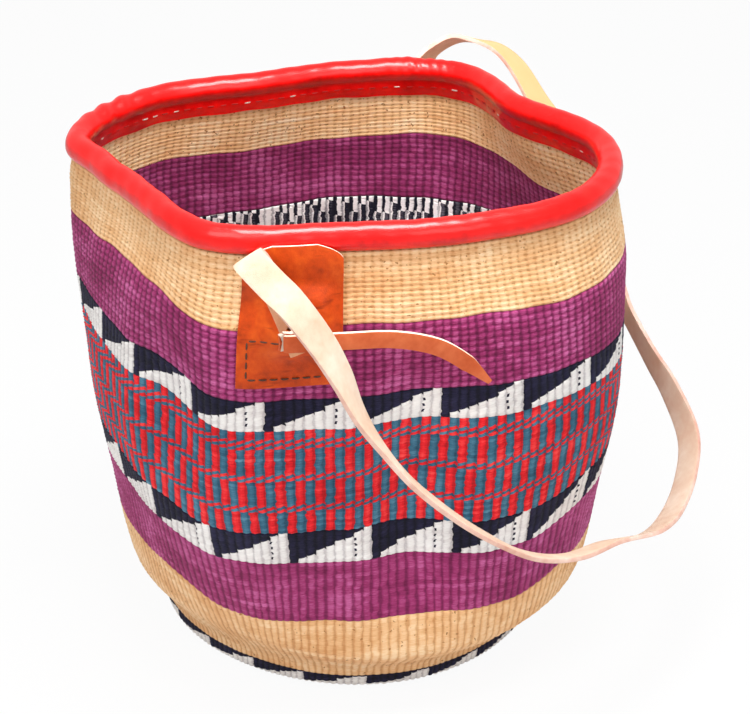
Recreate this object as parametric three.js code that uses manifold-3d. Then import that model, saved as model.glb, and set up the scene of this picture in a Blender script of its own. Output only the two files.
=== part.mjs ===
// A woven sisal basket (kiondo) with a red leather rim, two stitched leather patches and one long strap.
// Millimetres, +Z up. The origin is the centre of the flat base's underside, and +X is to the right when the
// front patch faces the viewer, who looks along +Y.

import * as THREE from 'three';
import Module from 'manifold-3d';
import { mergeVertices } from 'three/addons/utils/BufferGeometryUtils.js';

const wasm = await Module();
wasm.setup();

// The coloured bands, from the bottom up, and the heights that they reach

const baseBandRise = 17;
const lowerNaturalRise = 52;
const lowerPurpleRise = 40;
const lowerTeethRise = 22;
const zigzagRise = 67;
const upperTeethRise = 18;
const upperPurpleRise = 40;
const upperNaturalRise = 37;
const baseBandTop = baseBandRise;
const lowerNaturalTop = baseBandTop + lowerNaturalRise;
const lowerPurpleTop = lowerNaturalTop + lowerPurpleRise;
const lowerTeethTop = lowerPurpleTop + lowerTeethRise;
const zigzagTop = lowerTeethTop + zigzagRise;
const upperTeethTop = zigzagTop + upperTeethRise;
const upperPurpleTop = upperTeethTop + upperPurpleRise;
const wallTop = upperPurpleTop + upperNaturalRise;
// the wall ends inside the rim roll, this far below the roll's centre line
const rimRise = 7;
const rimHeight = wallTop + rimRise;

// The basket's overall form

// from here up the wall draws in a little to meet the stiff rim
const collarDrop = 20;
const collarHeight = rimHeight - collarDrop;
// height at which the bottom's rounding has become wall
const footHeight = 45;
const bellyHeight = 175;
const wallThickness = 4;
// radius of the flat underside
const baseRadius = 96;
// the mouth's centre stands off the base's centre: the basket leans a little towards the front
const mouthCentreRight = 3;
const mouthCentreFront = 20;

// The mouth is a soft five-sided outline with a dent behind its right side. Each reach is measured from the
// centre to the outer face, one every 30 degrees, counter-clockwise from the right.
const mouthRight = 142;
const mouthDent = 115;
const mouthBackRight = 133;
const mouthBack = 118;
const mouthBackFlat = 112;
const mouthBackLeft = 137;
const mouthLeft = 149;
const mouthLeftFlat = 124;
const mouthFrontLeft = 139;
const mouthFront = 123;
const mouthFrontFlat = 130;
const mouthFrontRight = 147;
const mouthReaches = [
  mouthRight, mouthDent, mouthBackRight, mouthBack, mouthBackFlat, mouthBackLeft,
  mouthLeft, mouthLeftFlat, mouthFrontLeft, mouthFront, mouthFrontFlat, mouthFrontRight,
];

// The same twelve reaches at the belly
const bellyRight = 153;
const bellyDent = 144;
const bellyBackRight = 136;
const bellyBack = 127;
const bellyBackFlat = 128;
const bellyBackLeft = 146;
const bellyLeft = 149;
const bellyLeftFlat = 145;
const bellyFrontLeft = 161;
const bellyFront = 139;
const bellyFrontFlat = 151;
const bellyFrontRight = 165;
const bellyReaches = [
  bellyRight, bellyDent, bellyBackRight, bellyBack, bellyBackFlat, bellyBackLeft,
  bellyLeft, bellyLeftFlat, bellyFrontLeft, bellyFront, bellyFrontFlat, bellyFrontRight,
];

// Above the foot the wall is rounder, so six reaches are enough, one every 60 degrees
const footRight = 146;
const footBackRight = 134;
const footBackLeft = 134;
const footLeft = 132;
const footFrontLeft = 129;
const footFrontRight = 145;
const footReaches = [footRight, footBackRight, footBackLeft, footLeft, footFrontLeft, footFrontRight];

// Two soft dents that the empty basket has fallen into: a furrow down the front and a hollow to its left
const furrowDepth = 14;
const furrowHeight = 146;
const furrowRise = 126;
const furrowTurnShare = -0.203;
const furrowSpreadShare = 0.047;
const hollowDepth = 14;
const hollowHeight = 190;
const hollowRise = 88;
const hollowTurnShare = -0.35;
const hollowSpreadShare = 0.051;

// The yarns
// neighbouring rows of yarn are told apart by this much
const bandGap = 0.3;
const teethRound = 20;
const columnsPerTooth = 4;
// one row of yarn joins the teeth of one colour at their feet
const toothRow = 3;
// the upright side of a tooth is this wide from foot to tip
const toothSlant = 0.6;
const upperToothStartShare = 0.0407;
const lowerToothStartShare = 0.0475;

// The rim: a leather roll over a cane hoop, with a flange down the inside of the wall
const rollRadius = 7;
const leatherThickness = 1.6;
// the hoop fills the roll but for this much
const hoopClearance = 0.5;
const flangeDrop = 9;
const rimClearance = 0.4;
const rimThreadThickness = 1;
const rimThreadDrop = 3;

// The leather patches that carry the strap
const patchWidth = 55;
const patchHeight = 74;
// the patch's upper edge reaches up to this far below the roll's centre line
const patchTopDrop = 1;
const patchTop = rimHeight - patchTopDrop;
const patchBottom = patchTop - patchHeight;
const patchThickness = 2.5;
const patchClearance = 0.3;
// the patch's top corners are cut off by this much
const patchCornerDrop = 8;
const patchCornerWidth = 15;
// the upper edge leans out over the rim roll
const patchLean = 5.4;
const patchLeanRise = 25;
const patchLeanTopDrop = 6;
const patchLeanEnd = patchTop - patchLeanTopDrop;
const patchLeanStart = patchLeanEnd - patchLeanRise;
// pocket behind the patch for the hidden end of the lace, which lies to one side of the hole
const pocketDepth = 5.4;
const pocketOffset = 5.5;
const pocketHalfWidth = 11;
const pocketHalfHeight = 10;
const pocketFade = 9;
const laceHoleRadius = 4.2;
const laceHoleDrop = 39;
const laceHoleHeight = patchTop - laceHoleDrop;
const frontPatchTurnShare = 0.7025;
const backPatchTurnShare = 0.236;
// the stitched box on the lower half
const stitchInset = 5;
const stitchBoxHeight = 21;
const stitchThickness = 0.8;
const stitchClearance = 0.6;

// The strap
const strapWidth = 16;
const strapThickness = 2.5;
const strapHoleRadius = 4.2;
const strapEndLength = 10;
// the strap's ends lift away from the patches
const strapEndLift = 4;
// the strap's inner face stands off the patch at the hole
const strapStandOff = 7.6;

// The narrow laces that tie the strap to the patches
const laceWidth = 9;
const laceNeckWidth = 5.6;
const laceThickness = 2.4;
const laceHiddenLength = 15;
const laceLoopRadius = 3.4;
const laceWallGap = 1.5;
// the lace's middle stands off the strap's outer face
const laceStrapGap = 2.8;
// the free tail of the front lace: how far it reaches to the right, drops and draws in
const tailReach = 98;
const tailDrop = 34;
const tailIn = 12;

// Colours of the yarns and leathers
const naturalColour = '#e8b98a';
const purpleColour = '#95376c';
const navyColour = '#17152c';
const whiteColour = '#d9d5d8';
const zigzagColour = '#9c4453';
const tealColour = '#788883';
const rimColour = '#f2241f';
const caneColour = '#c9a878';
const threadColour = '#c9b9a2';
const patchColour = '#d9501a';
const strapColour = '#f3dcc6';
const laceColour = '#e9764a';

// One full turn, and the directions up and out
const fullTurn = 2 * Math.PI;
const up = new THREE.Vector3(0, 0, 1);

// Reach of a closed outline at an angle, on a smooth curve through its evenly spaced reaches
function reachAt(reaches, angle) {
  const count = reaches.length;
  const place = ((angle / fullTurn) * count + count) % count;
  const index = Math.floor(place);
  const t = place - index;
  const before = reaches[(index - 1 + count) % count];
  const start = reaches[index % count];
  const end = reaches[(index + 1) % count];
  const after = reaches[(index + 2) % count];
  const bend = 2 * before - 5 * start + 4 * end - after;
  const twist = 3 * start - before - 3 * end + after;
  return 0.5 * (2 * start + (end - before) * t + bend * t * t + twist * t * t * t);
}

// A smooth curve through stations that never overshoots them
function stationCurve(places, values, place) {
  const last = places.length - 1;
  const steps = [];
  for (let i = 0; i < last; i += 1) {
    steps.push((values[i + 1] - values[i]) / (places[i + 1] - places[i]));
  }
  const slopes = [steps[0]];
  for (let i = 1; i < last; i += 1) {
    const product = steps[i - 1] * steps[i];
    slopes.push(product > 0 ? (2 * product) / (steps[i - 1] + steps[i]) : 0);
  }
  slopes.push(steps[last - 1]);
  let span = 0;
  while (span < last - 1 && place >= places[span + 1]) {
    span += 1;
  }
  const length = places[span + 1] - places[span];
  const t = (place - places[span]) / length;
  const s = 1 - t;
  return values[span] * s * s * (1 + 2 * t) + values[span + 1] * t * t * (3 - 2 * t)
    + slopes[span] * length * t * s * s - slopes[span + 1] * length * t * t * s;
}

// A soft hump: one at the middle, nothing past its half width
function hump(offset, half) {
  return Math.abs(offset) < half ? 0.5 + 0.5 * Math.cos((Math.PI * offset) / half) : 0;
}

// One over a flat middle, fading to nothing past it
function plateau(offset, half, fade) {
  return 1 - THREE.MathUtils.smoothstep(Math.abs(offset), half, half + fade);
}

// Shortest way round from one angle to another
function turnBetween(from, to) {
  return THREE.MathUtils.euclideanModulo(to - from + Math.PI, fullTurn) - Math.PI;
}

// Heights of the wall's profile stations: the rounding, the wall's swell and the collar
const toeShare = 0.09;
const instepShare = 0.36;
const toeSpreadShare = 0.45;
const instepSpreadShare = 0.5;
const waistHeight = 100;
const shoulderDrop = 55;
const shoulderHeight = rimHeight - shoulderDrop;
const shoulderMouthShare = 0.55;
// below the rim the wall swells out again by this much, at the collar and under it
const collarSwell = 4;
const shoulderSwell = 5;
const stationHeights = [
  0, toeShare * footHeight, instepShare * footHeight, footHeight,
  waistHeight, bellyHeight, shoulderHeight, collarHeight, rimHeight,
];

// Reach of the wall's outer face at an angle and a height
function wallReach(angle, height) {
  const mouth = reachAt(mouthReaches, angle);
  const belly = reachAt(bellyReaches, angle);
  const foot = reachAt(footReaches, angle);
  const stationReaches = [
    baseRadius,
    baseRadius + (foot - baseRadius) * toeSpreadShare,
    baseRadius + (foot - baseRadius) * instepSpreadShare,
    foot,
    (foot + belly) / 2,
    belly,
    belly + (mouth - belly) * shoulderMouthShare + shoulderSwell,
    mouth + collarSwell,
    mouth,
  ];
  const furrow = hump(turnBetween(furrowTurnShare * fullTurn, angle), furrowSpreadShare * fullTurn)
    * hump(height - furrowHeight, furrowRise) * furrowDepth;
  const hollow = hump(turnBetween(hollowTurnShare * fullTurn, angle), hollowSpreadShare * fullTurn)
    * hump(height - hollowHeight, hollowRise) * hollowDepth;
  return stationCurve(stationHeights, stationReaches, height) - furrow - hollow;
}

// Point on the wall's outer face
function outerPoint(angle, height) {
  const lean = Math.min(height / collarHeight, 1);
  const reach = wallReach(angle, height);
  const x = mouthCentreRight * lean + reach * Math.cos(angle);
  const y = -mouthCentreFront * lean + reach * Math.sin(angle);
  return new THREE.Vector3(x, y, height);
}

// Angles at equal steps of girth, so that the warps and teeth are evenly spaced round the belly
const girthSteps = 720;
const girthTable = [0];
let beforePoint = outerPoint(0, bellyHeight);
for (let i = 1; i <= girthSteps; i += 1) {
  const point = outerPoint((i / girthSteps) * fullTurn, bellyHeight);
  girthTable.push(girthTable[i - 1] + point.distanceTo(beforePoint));
  beforePoint = point;
}
const girth = girthTable[girthSteps];

function angleAt(share) {
  const turns = Math.floor(share);
  const target = (share - turns) * girth;
  let low = 0;
  let high = girthSteps;
  while (high - low > 1) {
    const middle = Math.floor((low + high) / 2);
    if (girthTable[middle] <= target) {
      low = middle;
    } else {
      high = middle;
    }
  }
  const rest = (target - girthTable[low]) / (girthTable[high] - girthTable[low]);
  return ((low + rest) / girthSteps + turns) * fullTurn;
}

// Point in the wall: share of the girth round it, height up it and depth in from its outer face
const probeAngle = 0.004;
const probeHeight = 0.002 * rimHeight;
function wallNormal(angle, height) {
  const low = Math.max(height - probeHeight, 0);
  const high = Math.min(height + probeHeight, rimHeight);
  const along = outerPoint(angle + probeAngle, height).sub(outerPoint(angle - probeAngle, height));
  const rise = outerPoint(angle, high).sub(outerPoint(angle, low));
  return along.cross(rise).normalize();
}

function wallPoint(share, height, depth) {
  const angle = angleAt(share);
  return outerPoint(angle, height).addScaledVector(wallNormal(angle, height), -depth);
}

// Meshes

// Volume of a closed mesh, positive when its faces look out
function signedVolume(points, triangles) {
  let volume = 0;
  for (let i = 0; i < triangles.length; i += 3) {
    const a = points[triangles[i]];
    const b = points[triangles[i + 1]];
    const c = points[triangles[i + 2]];
    volume += a.dot(b.clone().cross(c));
  }
  return volume;
}

function closedGeometry(points, triangles) {
  const order = triangles.slice();
  if (signedVolume(points, triangles) < 0) {
    order.reverse();
  }
  const geometry = new THREE.BufferGeometry();
  geometry.setAttribute('position', new THREE.Float32BufferAttribute(points.flatMap((p) => p.toArray()), 3));
  geometry.setIndex(order);
  return geometry;
}

// Quads between neighbouring sections, each section a closed loop of equally many points
function sectionQuads(sectionCount, loopCount, closed) {
  const triangles = [];
  const spans = closed ? sectionCount : sectionCount - 1;
  for (let i = 0; i < spans; i += 1) {
    const next = (i + 1) % sectionCount;
    for (let j = 0; j < loopCount; j += 1) {
      const side = (j + 1) % loopCount;
      const a = i * loopCount + j;
      const b = next * loopCount + j;
      const c = next * loopCount + side;
      const d = i * loopCount + side;
      triangles.push(a, b, c, a, c, d);
    }
  }
  return triangles;
}

// A ring: sections all the way round
function ringGeometry(sections) {
  return closedGeometry(sections.flat(), sectionQuads(sections.length, sections[0].length, true));
}

// A bar: sections from one end to the other, with flat convex ends
function barGeometry(sections) {
  const loopCount = sections[0].length;
  const triangles = sectionQuads(sections.length, loopCount, false);
  const lastStart = (sections.length - 1) * loopCount;
  for (let j = 1; j < loopCount - 1; j += 1) {
    triangles.push(0, j, j + 1);
    triangles.push(lastStart, lastStart + j + 1, lastStart + j);
  }
  return closedGeometry(sections.flat(), triangles);
}

function toManifold(geometry) {
  const bare = geometry.clone();
  bare.deleteAttribute('normal');
  bare.deleteAttribute('uv');
  const merged = mergeVertices(bare, mergeTolerance);
  return new wasm.Manifold(new wasm.Mesh({
    numProp: 3,
    vertProperties: new Float32Array(merged.attributes.position.array),
    triVerts: new Uint32Array(merged.index.array),
  }));
}

function fromManifold(solid) {
  const mesh = solid.getMesh();
  const geometry = new THREE.BufferGeometry();
  geometry.setAttribute('position', new THREE.Float32BufferAttribute(mesh.vertProperties, 3));
  geometry.setIndex(Array.from(mesh.triVerts));
  return geometry;
}

const group = new THREE.Group();
function addPiece(name, geometry, colour, roughness) {
  const material = new THREE.MeshStandardMaterial({ color: colour, roughness, metalness: 0 });
  const mesh = new THREE.Mesh(geometry, material);
  mesh.name = name;
  group.add(mesh);
}

const yarnRoughness = 0.9;
const leatherRoughness = 0.45;
const mergeTolerance = 0.00001 * rimHeight;

// The woven wall

// One band of the wall. Each column gives its share of the girth, its lower height and its upper height.
// Every other band starts its sections on the inner face, so that the facets of two bands match.
let bandsBuilt = 0;
function bandGeometry(columns, rows) {
  const inside = bandsBuilt % 2 === 1;
  bandsBuilt += 1;
  const sections = columns.map(([share, low, high]) => {
    const loop = [];
    for (let k = 0; k <= rows; k += 1) {
      loop.push(wallPoint(share, low + ((high - low) * k) / rows, inside ? wallThickness : 0));
    }
    for (let k = rows; k >= 0; k -= 1) {
      loop.push(wallPoint(share, low + ((high - low) * k) / rows, inside ? 0 : wallThickness));
    }
    return loop;
  });
  return ringGeometry(sections);
}

const columnCount = teethRound * columnsPerTooth;
function evenColumns(low, high) {
  const columns = [];
  for (let i = 0; i < columnCount; i += 1) {
    columns.push([i / columnCount, low, high]);
  }
  return columns;
}

function plainBand(name, low, high, rows, colour) {
  addPiece(name, bandGeometry(evenColumns(low, high), rows), colour, yarnRoughness);
}

// A row of right-angled teeth. The white teeth stand on their row and rise to the right of the viewer, who
// goes round counter-clockwise; the navy yarn fills what is left above them.
function toothedBands(whiteName, navyName, low, high, startShare) {
  const whiteColumns = [];
  const navyColumns = [];
  const footLine = low + toothRow;
  const tipLine = high - toothRow - bandGap;
  const gapShare = bandGap / girth;
  const slantShare = toothSlant / girth;
  for (let tooth = 0; tooth < teethRound; tooth += 1) {
    const start = startShare + tooth / teethRound;
    const run = 1 / teethRound - slantShare;
    for (let k = 0; k < columnsPerTooth; k += 1) {
      const part = k / (columnsPerTooth - 1);
      const share = start + slantShare / 2 + run * part;
      const line = footLine + (tipLine - footLine) * part;
      whiteColumns.push([share - gapShare / 2, low, line]);
      navyColumns.push([share + gapShare / 2, line + bandGap, high - bandGap]);
    }
  }
  addPiece(whiteName, bandGeometry(whiteColumns, 1), whiteColour, yarnRoughness);
  addPiece(navyName, bandGeometry(navyColumns, 1), navyColour, yarnRoughness);
}

plainBand('base_band', 0, baseBandTop - bandGap, 3, navyColour);
plainBand('lower_natural_band', baseBandTop, lowerNaturalTop - bandGap, 2, naturalColour);
plainBand('lower_purple_band', lowerNaturalTop, lowerPurpleTop - bandGap, 2, purpleColour);
toothedBands('lower_white_teeth', 'lower_navy_teeth', lowerPurpleTop, lowerTeethTop, lowerToothStartShare);
plainBand('zigzag_band', lowerTeethTop, zigzagTop - bandGap, 3, zigzagColour);
toothedBands('upper_white_teeth', 'upper_navy_teeth', zigzagTop, upperTeethTop, upperToothStartShare);
plainBand('upper_purple_band', upperTeethTop, upperPurpleTop - bandGap, 2, purpleColour);
plainBand('upper_natural_band', upperPurpleTop, wallTop, 4, naturalColour);

// The flat spiral-woven bottom sits inside the lowest row of the wall, which leans out and so leaves it room
// almost to the wall's outer face
const baseDiscInset = 1;
const baseDiscRadius = baseRadius - baseDiscInset - bandGap;
const baseDisc = new THREE.CylinderGeometry(baseDiscRadius, baseDiscRadius, wallThickness, columnCount);
baseDisc.rotateX(Math.PI / 2);
baseDisc.translate(0, 0, wallThickness / 2);
addPiece('base_disc', baseDisc, tealColour, yarnRoughness);

// The rim

// A point beside the collar: out from the wall's middle, at a height. The collar is upright, so this holds
// for the roll above it too.
function rimPoint(share, out, height) {
  return wallPoint(share, Math.min(height, rimHeight), wallThickness / 2 - out)
    .setZ(height);
}

const rollSteps = 9;
const footOut = wallThickness / 2 + rimClearance;
const flangeOut = footOut + leatherThickness;
const skinRadius = rollRadius - leatherThickness;
function rimSection(share) {
  const loop = [];
  // the roll's outer skin, from its outer foot over the top to the flange
  const from = Math.asin(footOut / rollRadius);
  const to = fullTurn - Math.asin(flangeOut / rollRadius);
  for (let k = 0; k <= rollSteps; k += 1) {
    const angle = from + ((to - from) * k) / rollSteps;
    loop.push(rimPoint(share, rollRadius * Math.sin(angle), rimHeight - rollRadius * Math.cos(angle)));
  }
  loop.push(rimPoint(share, -flangeOut, wallTop - flangeDrop));
  loop.push(rimPoint(share, -footOut, wallTop - flangeDrop));
  // back along the inner skin
  const inner = Math.asin(footOut / skinRadius);
  for (let k = rollSteps; k >= 0; k -= 1) {
    const angle = inner + ((fullTurn - 2 * inner) * k) / rollSteps;
    loop.push(rimPoint(share, skinRadius * Math.sin(angle), rimHeight - skinRadius * Math.cos(angle)));
  }
  return loop;
}

function ringColumns(sectionAt) {
  const sections = [];
  for (let i = 0; i < columnCount; i += 1) {
    sections.push(sectionAt(i / columnCount));
  }
  return sections;
}
addPiece('rim_binding', ringGeometry(ringColumns(rimSection)), rimColour, leatherRoughness);

function roundRing(name, out, height, radius, sides, colour, roughness) {
  const sections = ringColumns((share) => {
    const loop = [];
    for (let k = 0; k < sides; k += 1) {
      const angle = (k / sides) * fullTurn;
      loop.push(rimPoint(share, out + radius * Math.sin(angle), height + radius * Math.cos(angle)));
    }
    return loop;
  });
  addPiece(name, ringGeometry(sections), colour, roughness);
}
const hoopRadius = skinRadius - hoopClearance;
roundRing('rim_hoop', 0, rimHeight, hoopRadius, 6, caneColour, yarnRoughness);
const rimThreadOut = -(flangeOut + bandGap + rimThreadThickness / 2);
const rimThreadHeight = wallTop - rimThreadDrop;
const rimThreadRadius = rimThreadThickness / 2;
roundRing('rim_thread', rimThreadOut, rimThreadHeight, rimThreadRadius, 4, threadColour, yarnRoughness);

// The patches

// How far a patch's inner face stands off the wall, across it and up it. The side tells where the lace's
// hidden end lies: one for counter-clockwise, minus one for clockwise.
function patchOff(across, height, side) {
  const leanPart = THREE.MathUtils.smoothstep(height, patchLeanStart, patchLeanEnd);
  const pocket = plateau(across - side * pocketOffset, pocketHalfWidth, pocketFade)
    * plateau(height - laceHoleHeight, pocketHalfHeight, pocketFade);
  return patchClearance + patchLean * leanPart + (pocketDepth - patchClearance) * pocket;
}

// A point on a patch: across it, up it and out from its inner face. A patch has the share of the girth where
// its middle is, and the side of its lace.
const frontPatch = { turnShare: frontPatchTurnShare, side: 1 };
const backPatch = { turnShare: backPatchTurnShare, side: -1 };
function patchPoint(patch, across, height, out) {
  const off = patchOff(across, height, patch.side) + out;
  return wallPoint(patch.turnShare + across / girth, height, -off);
}

const patchColumns = 10;
const patchRows = 10;
function patchHalf(height) {
  const corner = THREE.MathUtils.clamp((height - (patchTop - patchCornerDrop)) / patchCornerDrop, 0, 1);
  return patchWidth / 2 - patchCornerWidth * corner * corner;
}
function patchGrid(patch) {
  const points = [];
  const triangles = [];
  const across = patchColumns + 1;
  const layer = across * (patchRows + 1);
  for (let side = 0; side < 2; side += 1) {
    for (let r = 0; r <= patchRows; r += 1) {
      const height = patchBottom + ((patchTop - patchBottom) * r) / patchRows;
      for (let c = 0; c <= patchColumns; c += 1) {
        const place = patchHalf(height) * ((2 * c) / patchColumns - 1);
        points.push(patchPoint(patch, place, height, side * patchThickness));
      }
    }
  }
  const quad = (a, b, c, d) => triangles.push(a, b, c, a, c, d);
  for (let r = 0; r < patchRows; r += 1) {
    for (let c = 0; c < patchColumns; c += 1) {
      const a = r * across + c;
      quad(a, a + across, a + across + 1, a + 1);
      quad(layer + a, layer + a + 1, layer + a + across + 1, layer + a + across);
    }
  }
  const border = [];
  for (let c = 0; c < patchColumns; c += 1) border.push(c);
  for (let r = 0; r < patchRows; r += 1) border.push(r * across + patchColumns);
  for (let c = patchColumns; c > 0; c -= 1) border.push(patchRows * across + c);
  for (let r = patchRows; r > 0; r -= 1) border.push(r * across);
  for (let i = 0; i < border.length; i += 1) {
    const a = border[i];
    const b = border[(i + 1) % border.length];
    quad(a, b, b + layer, a + layer);
  }
  return closedGeometry(points, triangles);
}

// A round punch along a direction
const punchSides = 16;
const punchLength = 40;
function punch(centre, direction, radius) {
  const geometry = new THREE.CylinderGeometry(radius, radius, punchLength, punchSides);
  geometry.applyQuaternion(new THREE.Quaternion().setFromUnitVectors(new THREE.Vector3(0, 1, 0), direction));
  geometry.translate(centre.x, centre.y, centre.z);
  return toManifold(geometry);
}

// Where the laces come through: the hole's middle on the patch's outer face
const frontHole = patchPoint(frontPatch, 0, laceHoleHeight, patchThickness);
const backHole = patchPoint(backPatch, 0, laceHoleHeight, patchThickness);
const frontOut = wallNormal(angleAt(frontPatchTurnShare), laceHoleHeight).setZ(0).normalize();
const backOut = wallNormal(angleAt(backPatchTurnShare), laceHoleHeight).setZ(0).normalize();

function addPatch(name, patch, hole, outward) {
  const solid = toManifold(patchGrid(patch)).subtract(punch(hole, outward, laceHoleRadius));
  addPiece(name, fromManifold(solid), patchColour, leatherRoughness);
}
addPatch('front_patch', frontPatch, frontHole, frontOut);
addPatch('back_patch', backPatch, backHole, backOut);

// The stitching is one thread round a box on the patch's lower half
const stitchStepsAcross = 8;
const stitchStepsUp = 4;
function addStitching(name, patch) {
  const half = patchWidth / 2 - stitchInset;
  const low = patchBottom + stitchInset;
  const high = low + stitchBoxHeight;
  const path = [];
  for (let i = 0; i < stitchStepsAcross; i += 1) path.push([-half + (2 * half * i) / stitchStepsAcross, low]);
  for (let i = 0; i < stitchStepsUp; i += 1) path.push([half, low + ((high - low) * i) / stitchStepsUp]);
  for (let i = 0; i < stitchStepsAcross; i += 1) path.push([half - (2 * half * i) / stitchStepsAcross, high]);
  for (let i = 0; i < stitchStepsUp; i += 1) path.push([-half, high - ((high - low) * i) / stitchStepsUp]);
  const inner = patchThickness + stitchClearance;
  const outer = inner + stitchThickness;
  const middle = (low + high) / 2;
  const sections = path.map(([across, height]) => {
    const inAcross = across - Math.sign(across) * (Math.abs(across) === half ? stitchThickness : 0);
    const onEdge = height === low || height === high;
    const inHeight = height + (onEdge ? Math.sign(middle - height) * stitchThickness : 0);
    return [
      patchPoint(patch, across, height, inner),
      patchPoint(patch, inAcross, inHeight, inner),
      patchPoint(patch, inAcross, inHeight, outer),
      patchPoint(patch, across, height, outer),
    ];
  });
  addPiece(name, ringGeometry(sections), threadColour, yarnRoughness);
}
addStitching('front_patch_stitching', frontPatch);
addStitching('back_patch_stitching', backPatch);

// Flat strips of leather

// A strip along a smooth line through its stations. Each station has a place, the way that the flesh side
// faces there, and a width.
function stripGeometry(stations, stepCount, thickness) {
  const line = new THREE.CatmullRomCurve3(stations.map((s) => s.place), false, 'centripetal');
  const facing = new THREE.CatmullRomCurve3(stations.map((s) => s.face), false, 'catmullrom');
  const lengths = [0];
  const lengthSteps = 24;
  const spans = stations.length - 1;
  let from = line.getPoint(0);
  for (let i = 1; i <= spans * lengthSteps; i += 1) {
    const to = line.getPoint(i / (spans * lengthSteps));
    lengths.push(lengths[i - 1] + to.distanceTo(from));
    from = to;
  }
  const total = lengths[lengths.length - 1];
  const sections = [];
  for (let i = 0; i <= stepCount; i += 1) {
    const target = (total * i) / stepCount;
    let index = 0;
    while (index < lengths.length - 2 && lengths[index + 1] < target) {
      index += 1;
    }
    const part = (target - lengths[index]) / (lengths[index + 1] - lengths[index]);
    const t = Math.min((index + part) / (spans * lengthSteps), 1);
    const place = line.getPoint(t);
    const along = line.getTangent(t);
    const face = facing.getPoint(t);
    face.addScaledVector(along, -face.dot(along)).normalize();
    const side = along.clone().cross(face);
    const station = Math.min(Math.floor(t * spans), spans - 1);
    const within = t * spans - station;
    const width = THREE.MathUtils.lerp(stations[station].width, stations[station + 1].width, within);
    const corner = (across, out) => place.clone().addScaledVector(side, across * width / 2)
      .addScaledVector(face, out * thickness / 2);
    sections.push([corner(-1, -1), corner(1, -1), corner(1, 1), corner(-1, 1)]);
  }
  return barGeometry(sections);
}

// The strap's hinge line runs through the two holes, half way through the strap's thickness
const strapOff = strapStandOff + strapThickness / 2;
const frontPivot = frontHole.clone().addScaledVector(frontOut, strapOff);
const backPivot = backHole.clone().addScaledVector(backOut, strapOff);
const hingeLine = backPivot.clone().sub(frontPivot).normalize();

// The strap's route, in shares of the basket's half width, its half depth and its height
const halfWidth = (mouthRight + mouthLeft) / 2;
const halfDepth = (mouthFront + mouthBack) / 2 + mouthCentreFront;
function routePoint(acrossShare, backShare, heightShare) {
  return new THREE.Vector3(acrossShare * halfWidth, backShare * halfDepth, heightShare * rimHeight);
}
const routeShares = [
  { place: [-0.17, -1.36, 0.95], face: [0.3, -0.9, 0.4] },
  { place: [-0.09, -1.37, 0.88], face: [0.4, -0.9, 0.3] },
  { place: [-0.01, -1.37, 0.82], face: [0.4, -0.9, 0.2] },
  { place: [0.07, -1.37, 0.76], face: [0.7, -0.65, 0.35] },
  { place: [0.15, -1.36, 0.7], face: [0.8, -0.2, 0.5] },
  { place: [0.25, -1.35, 0.63], face: [0.8, 0, 0.6] },
  { place: [0.4, -1.31, 0.55], face: [0.7, 0.1, 0.7] },
  { place: [0.54, -1.27, 0.49], face: [0.6, 0.2, 0.8] },
  { place: [0.69, -1.19, 0.43], face: [0.4, 0.3, 0.9] },
  { place: [0.85, -1.07, 0.39], face: [0.15, 0.3, 0.9] },
  { place: [1.01, -0.91, 0.37], face: [0, 0.3, 0.9] },
  { place: [1.2, -0.71, 0.33], face: [-0.15, 0.25, 0.95] },
  { place: [1.31, -0.51, 0.32], face: [-0.4, 0.1, 0.9] },
  { place: [1.38, -0.33, 0.34], face: [-0.7, -0.1, 0.7] },
  { place: [1.41, -0.14, 0.38], face: [-0.8, -0.3, 0.5] },
  { place: [1.35, 0.03, 0.44], face: [-0.9, -0.4, 0.2] },
  { place: [1.29, 0.19, 0.47], face: [-0.9, -0.4, 0] },
  { place: [1.23, 0.31, 0.51], face: [-0.9, -0.4, -0.1] },
  { place: [1.18, 0.41, 0.55], face: [-0.85, -0.5, -0.1] },
  { place: [1.09, 0.54, 0.66], face: [-0.4, -0.9, 0.1] },
  { place: [0.95, 0.63, 0.84], face: [0.3, -0.8, 0.4] },
  { place: [0.82, 0.69, 0.93], face: [0.5, -0.55, 0.6] },
  { place: [0.72, 0.78, 1], face: [0.5, -0.3, 0.8] },
  { place: [0.64, 0.82, 1.03], face: [0.35, 0, 0.9] },
  { place: [0.55, 0.85, 1.04], face: [0.15, 0.3, 0.9] },
  { place: [0.47, 0.88, 1.04], face: [-0.05, 0.5, 0.8] },
  { place: [0.37, 0.89, 1.01], face: [-0.4, 0.6, 0.65] },
  { place: [0.29, 0.89, 0.96], face: [-0.4, 0.8, 0.45] },
];

// The front root runs up from its hole, hidden behind the strap's own fall, and folds over to the front
const rootLean = new THREE.Vector3(-0.48, 0, 1);
const foldLean = new THREE.Vector3(-0.57, 0, 0.82);
const fallLean = new THREE.Vector3(0.6, 0, -0.8);
const rootLength = 42;
const foldOut = 7.5;
const foldRise = 6;
const backRootLength = 22;

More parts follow.
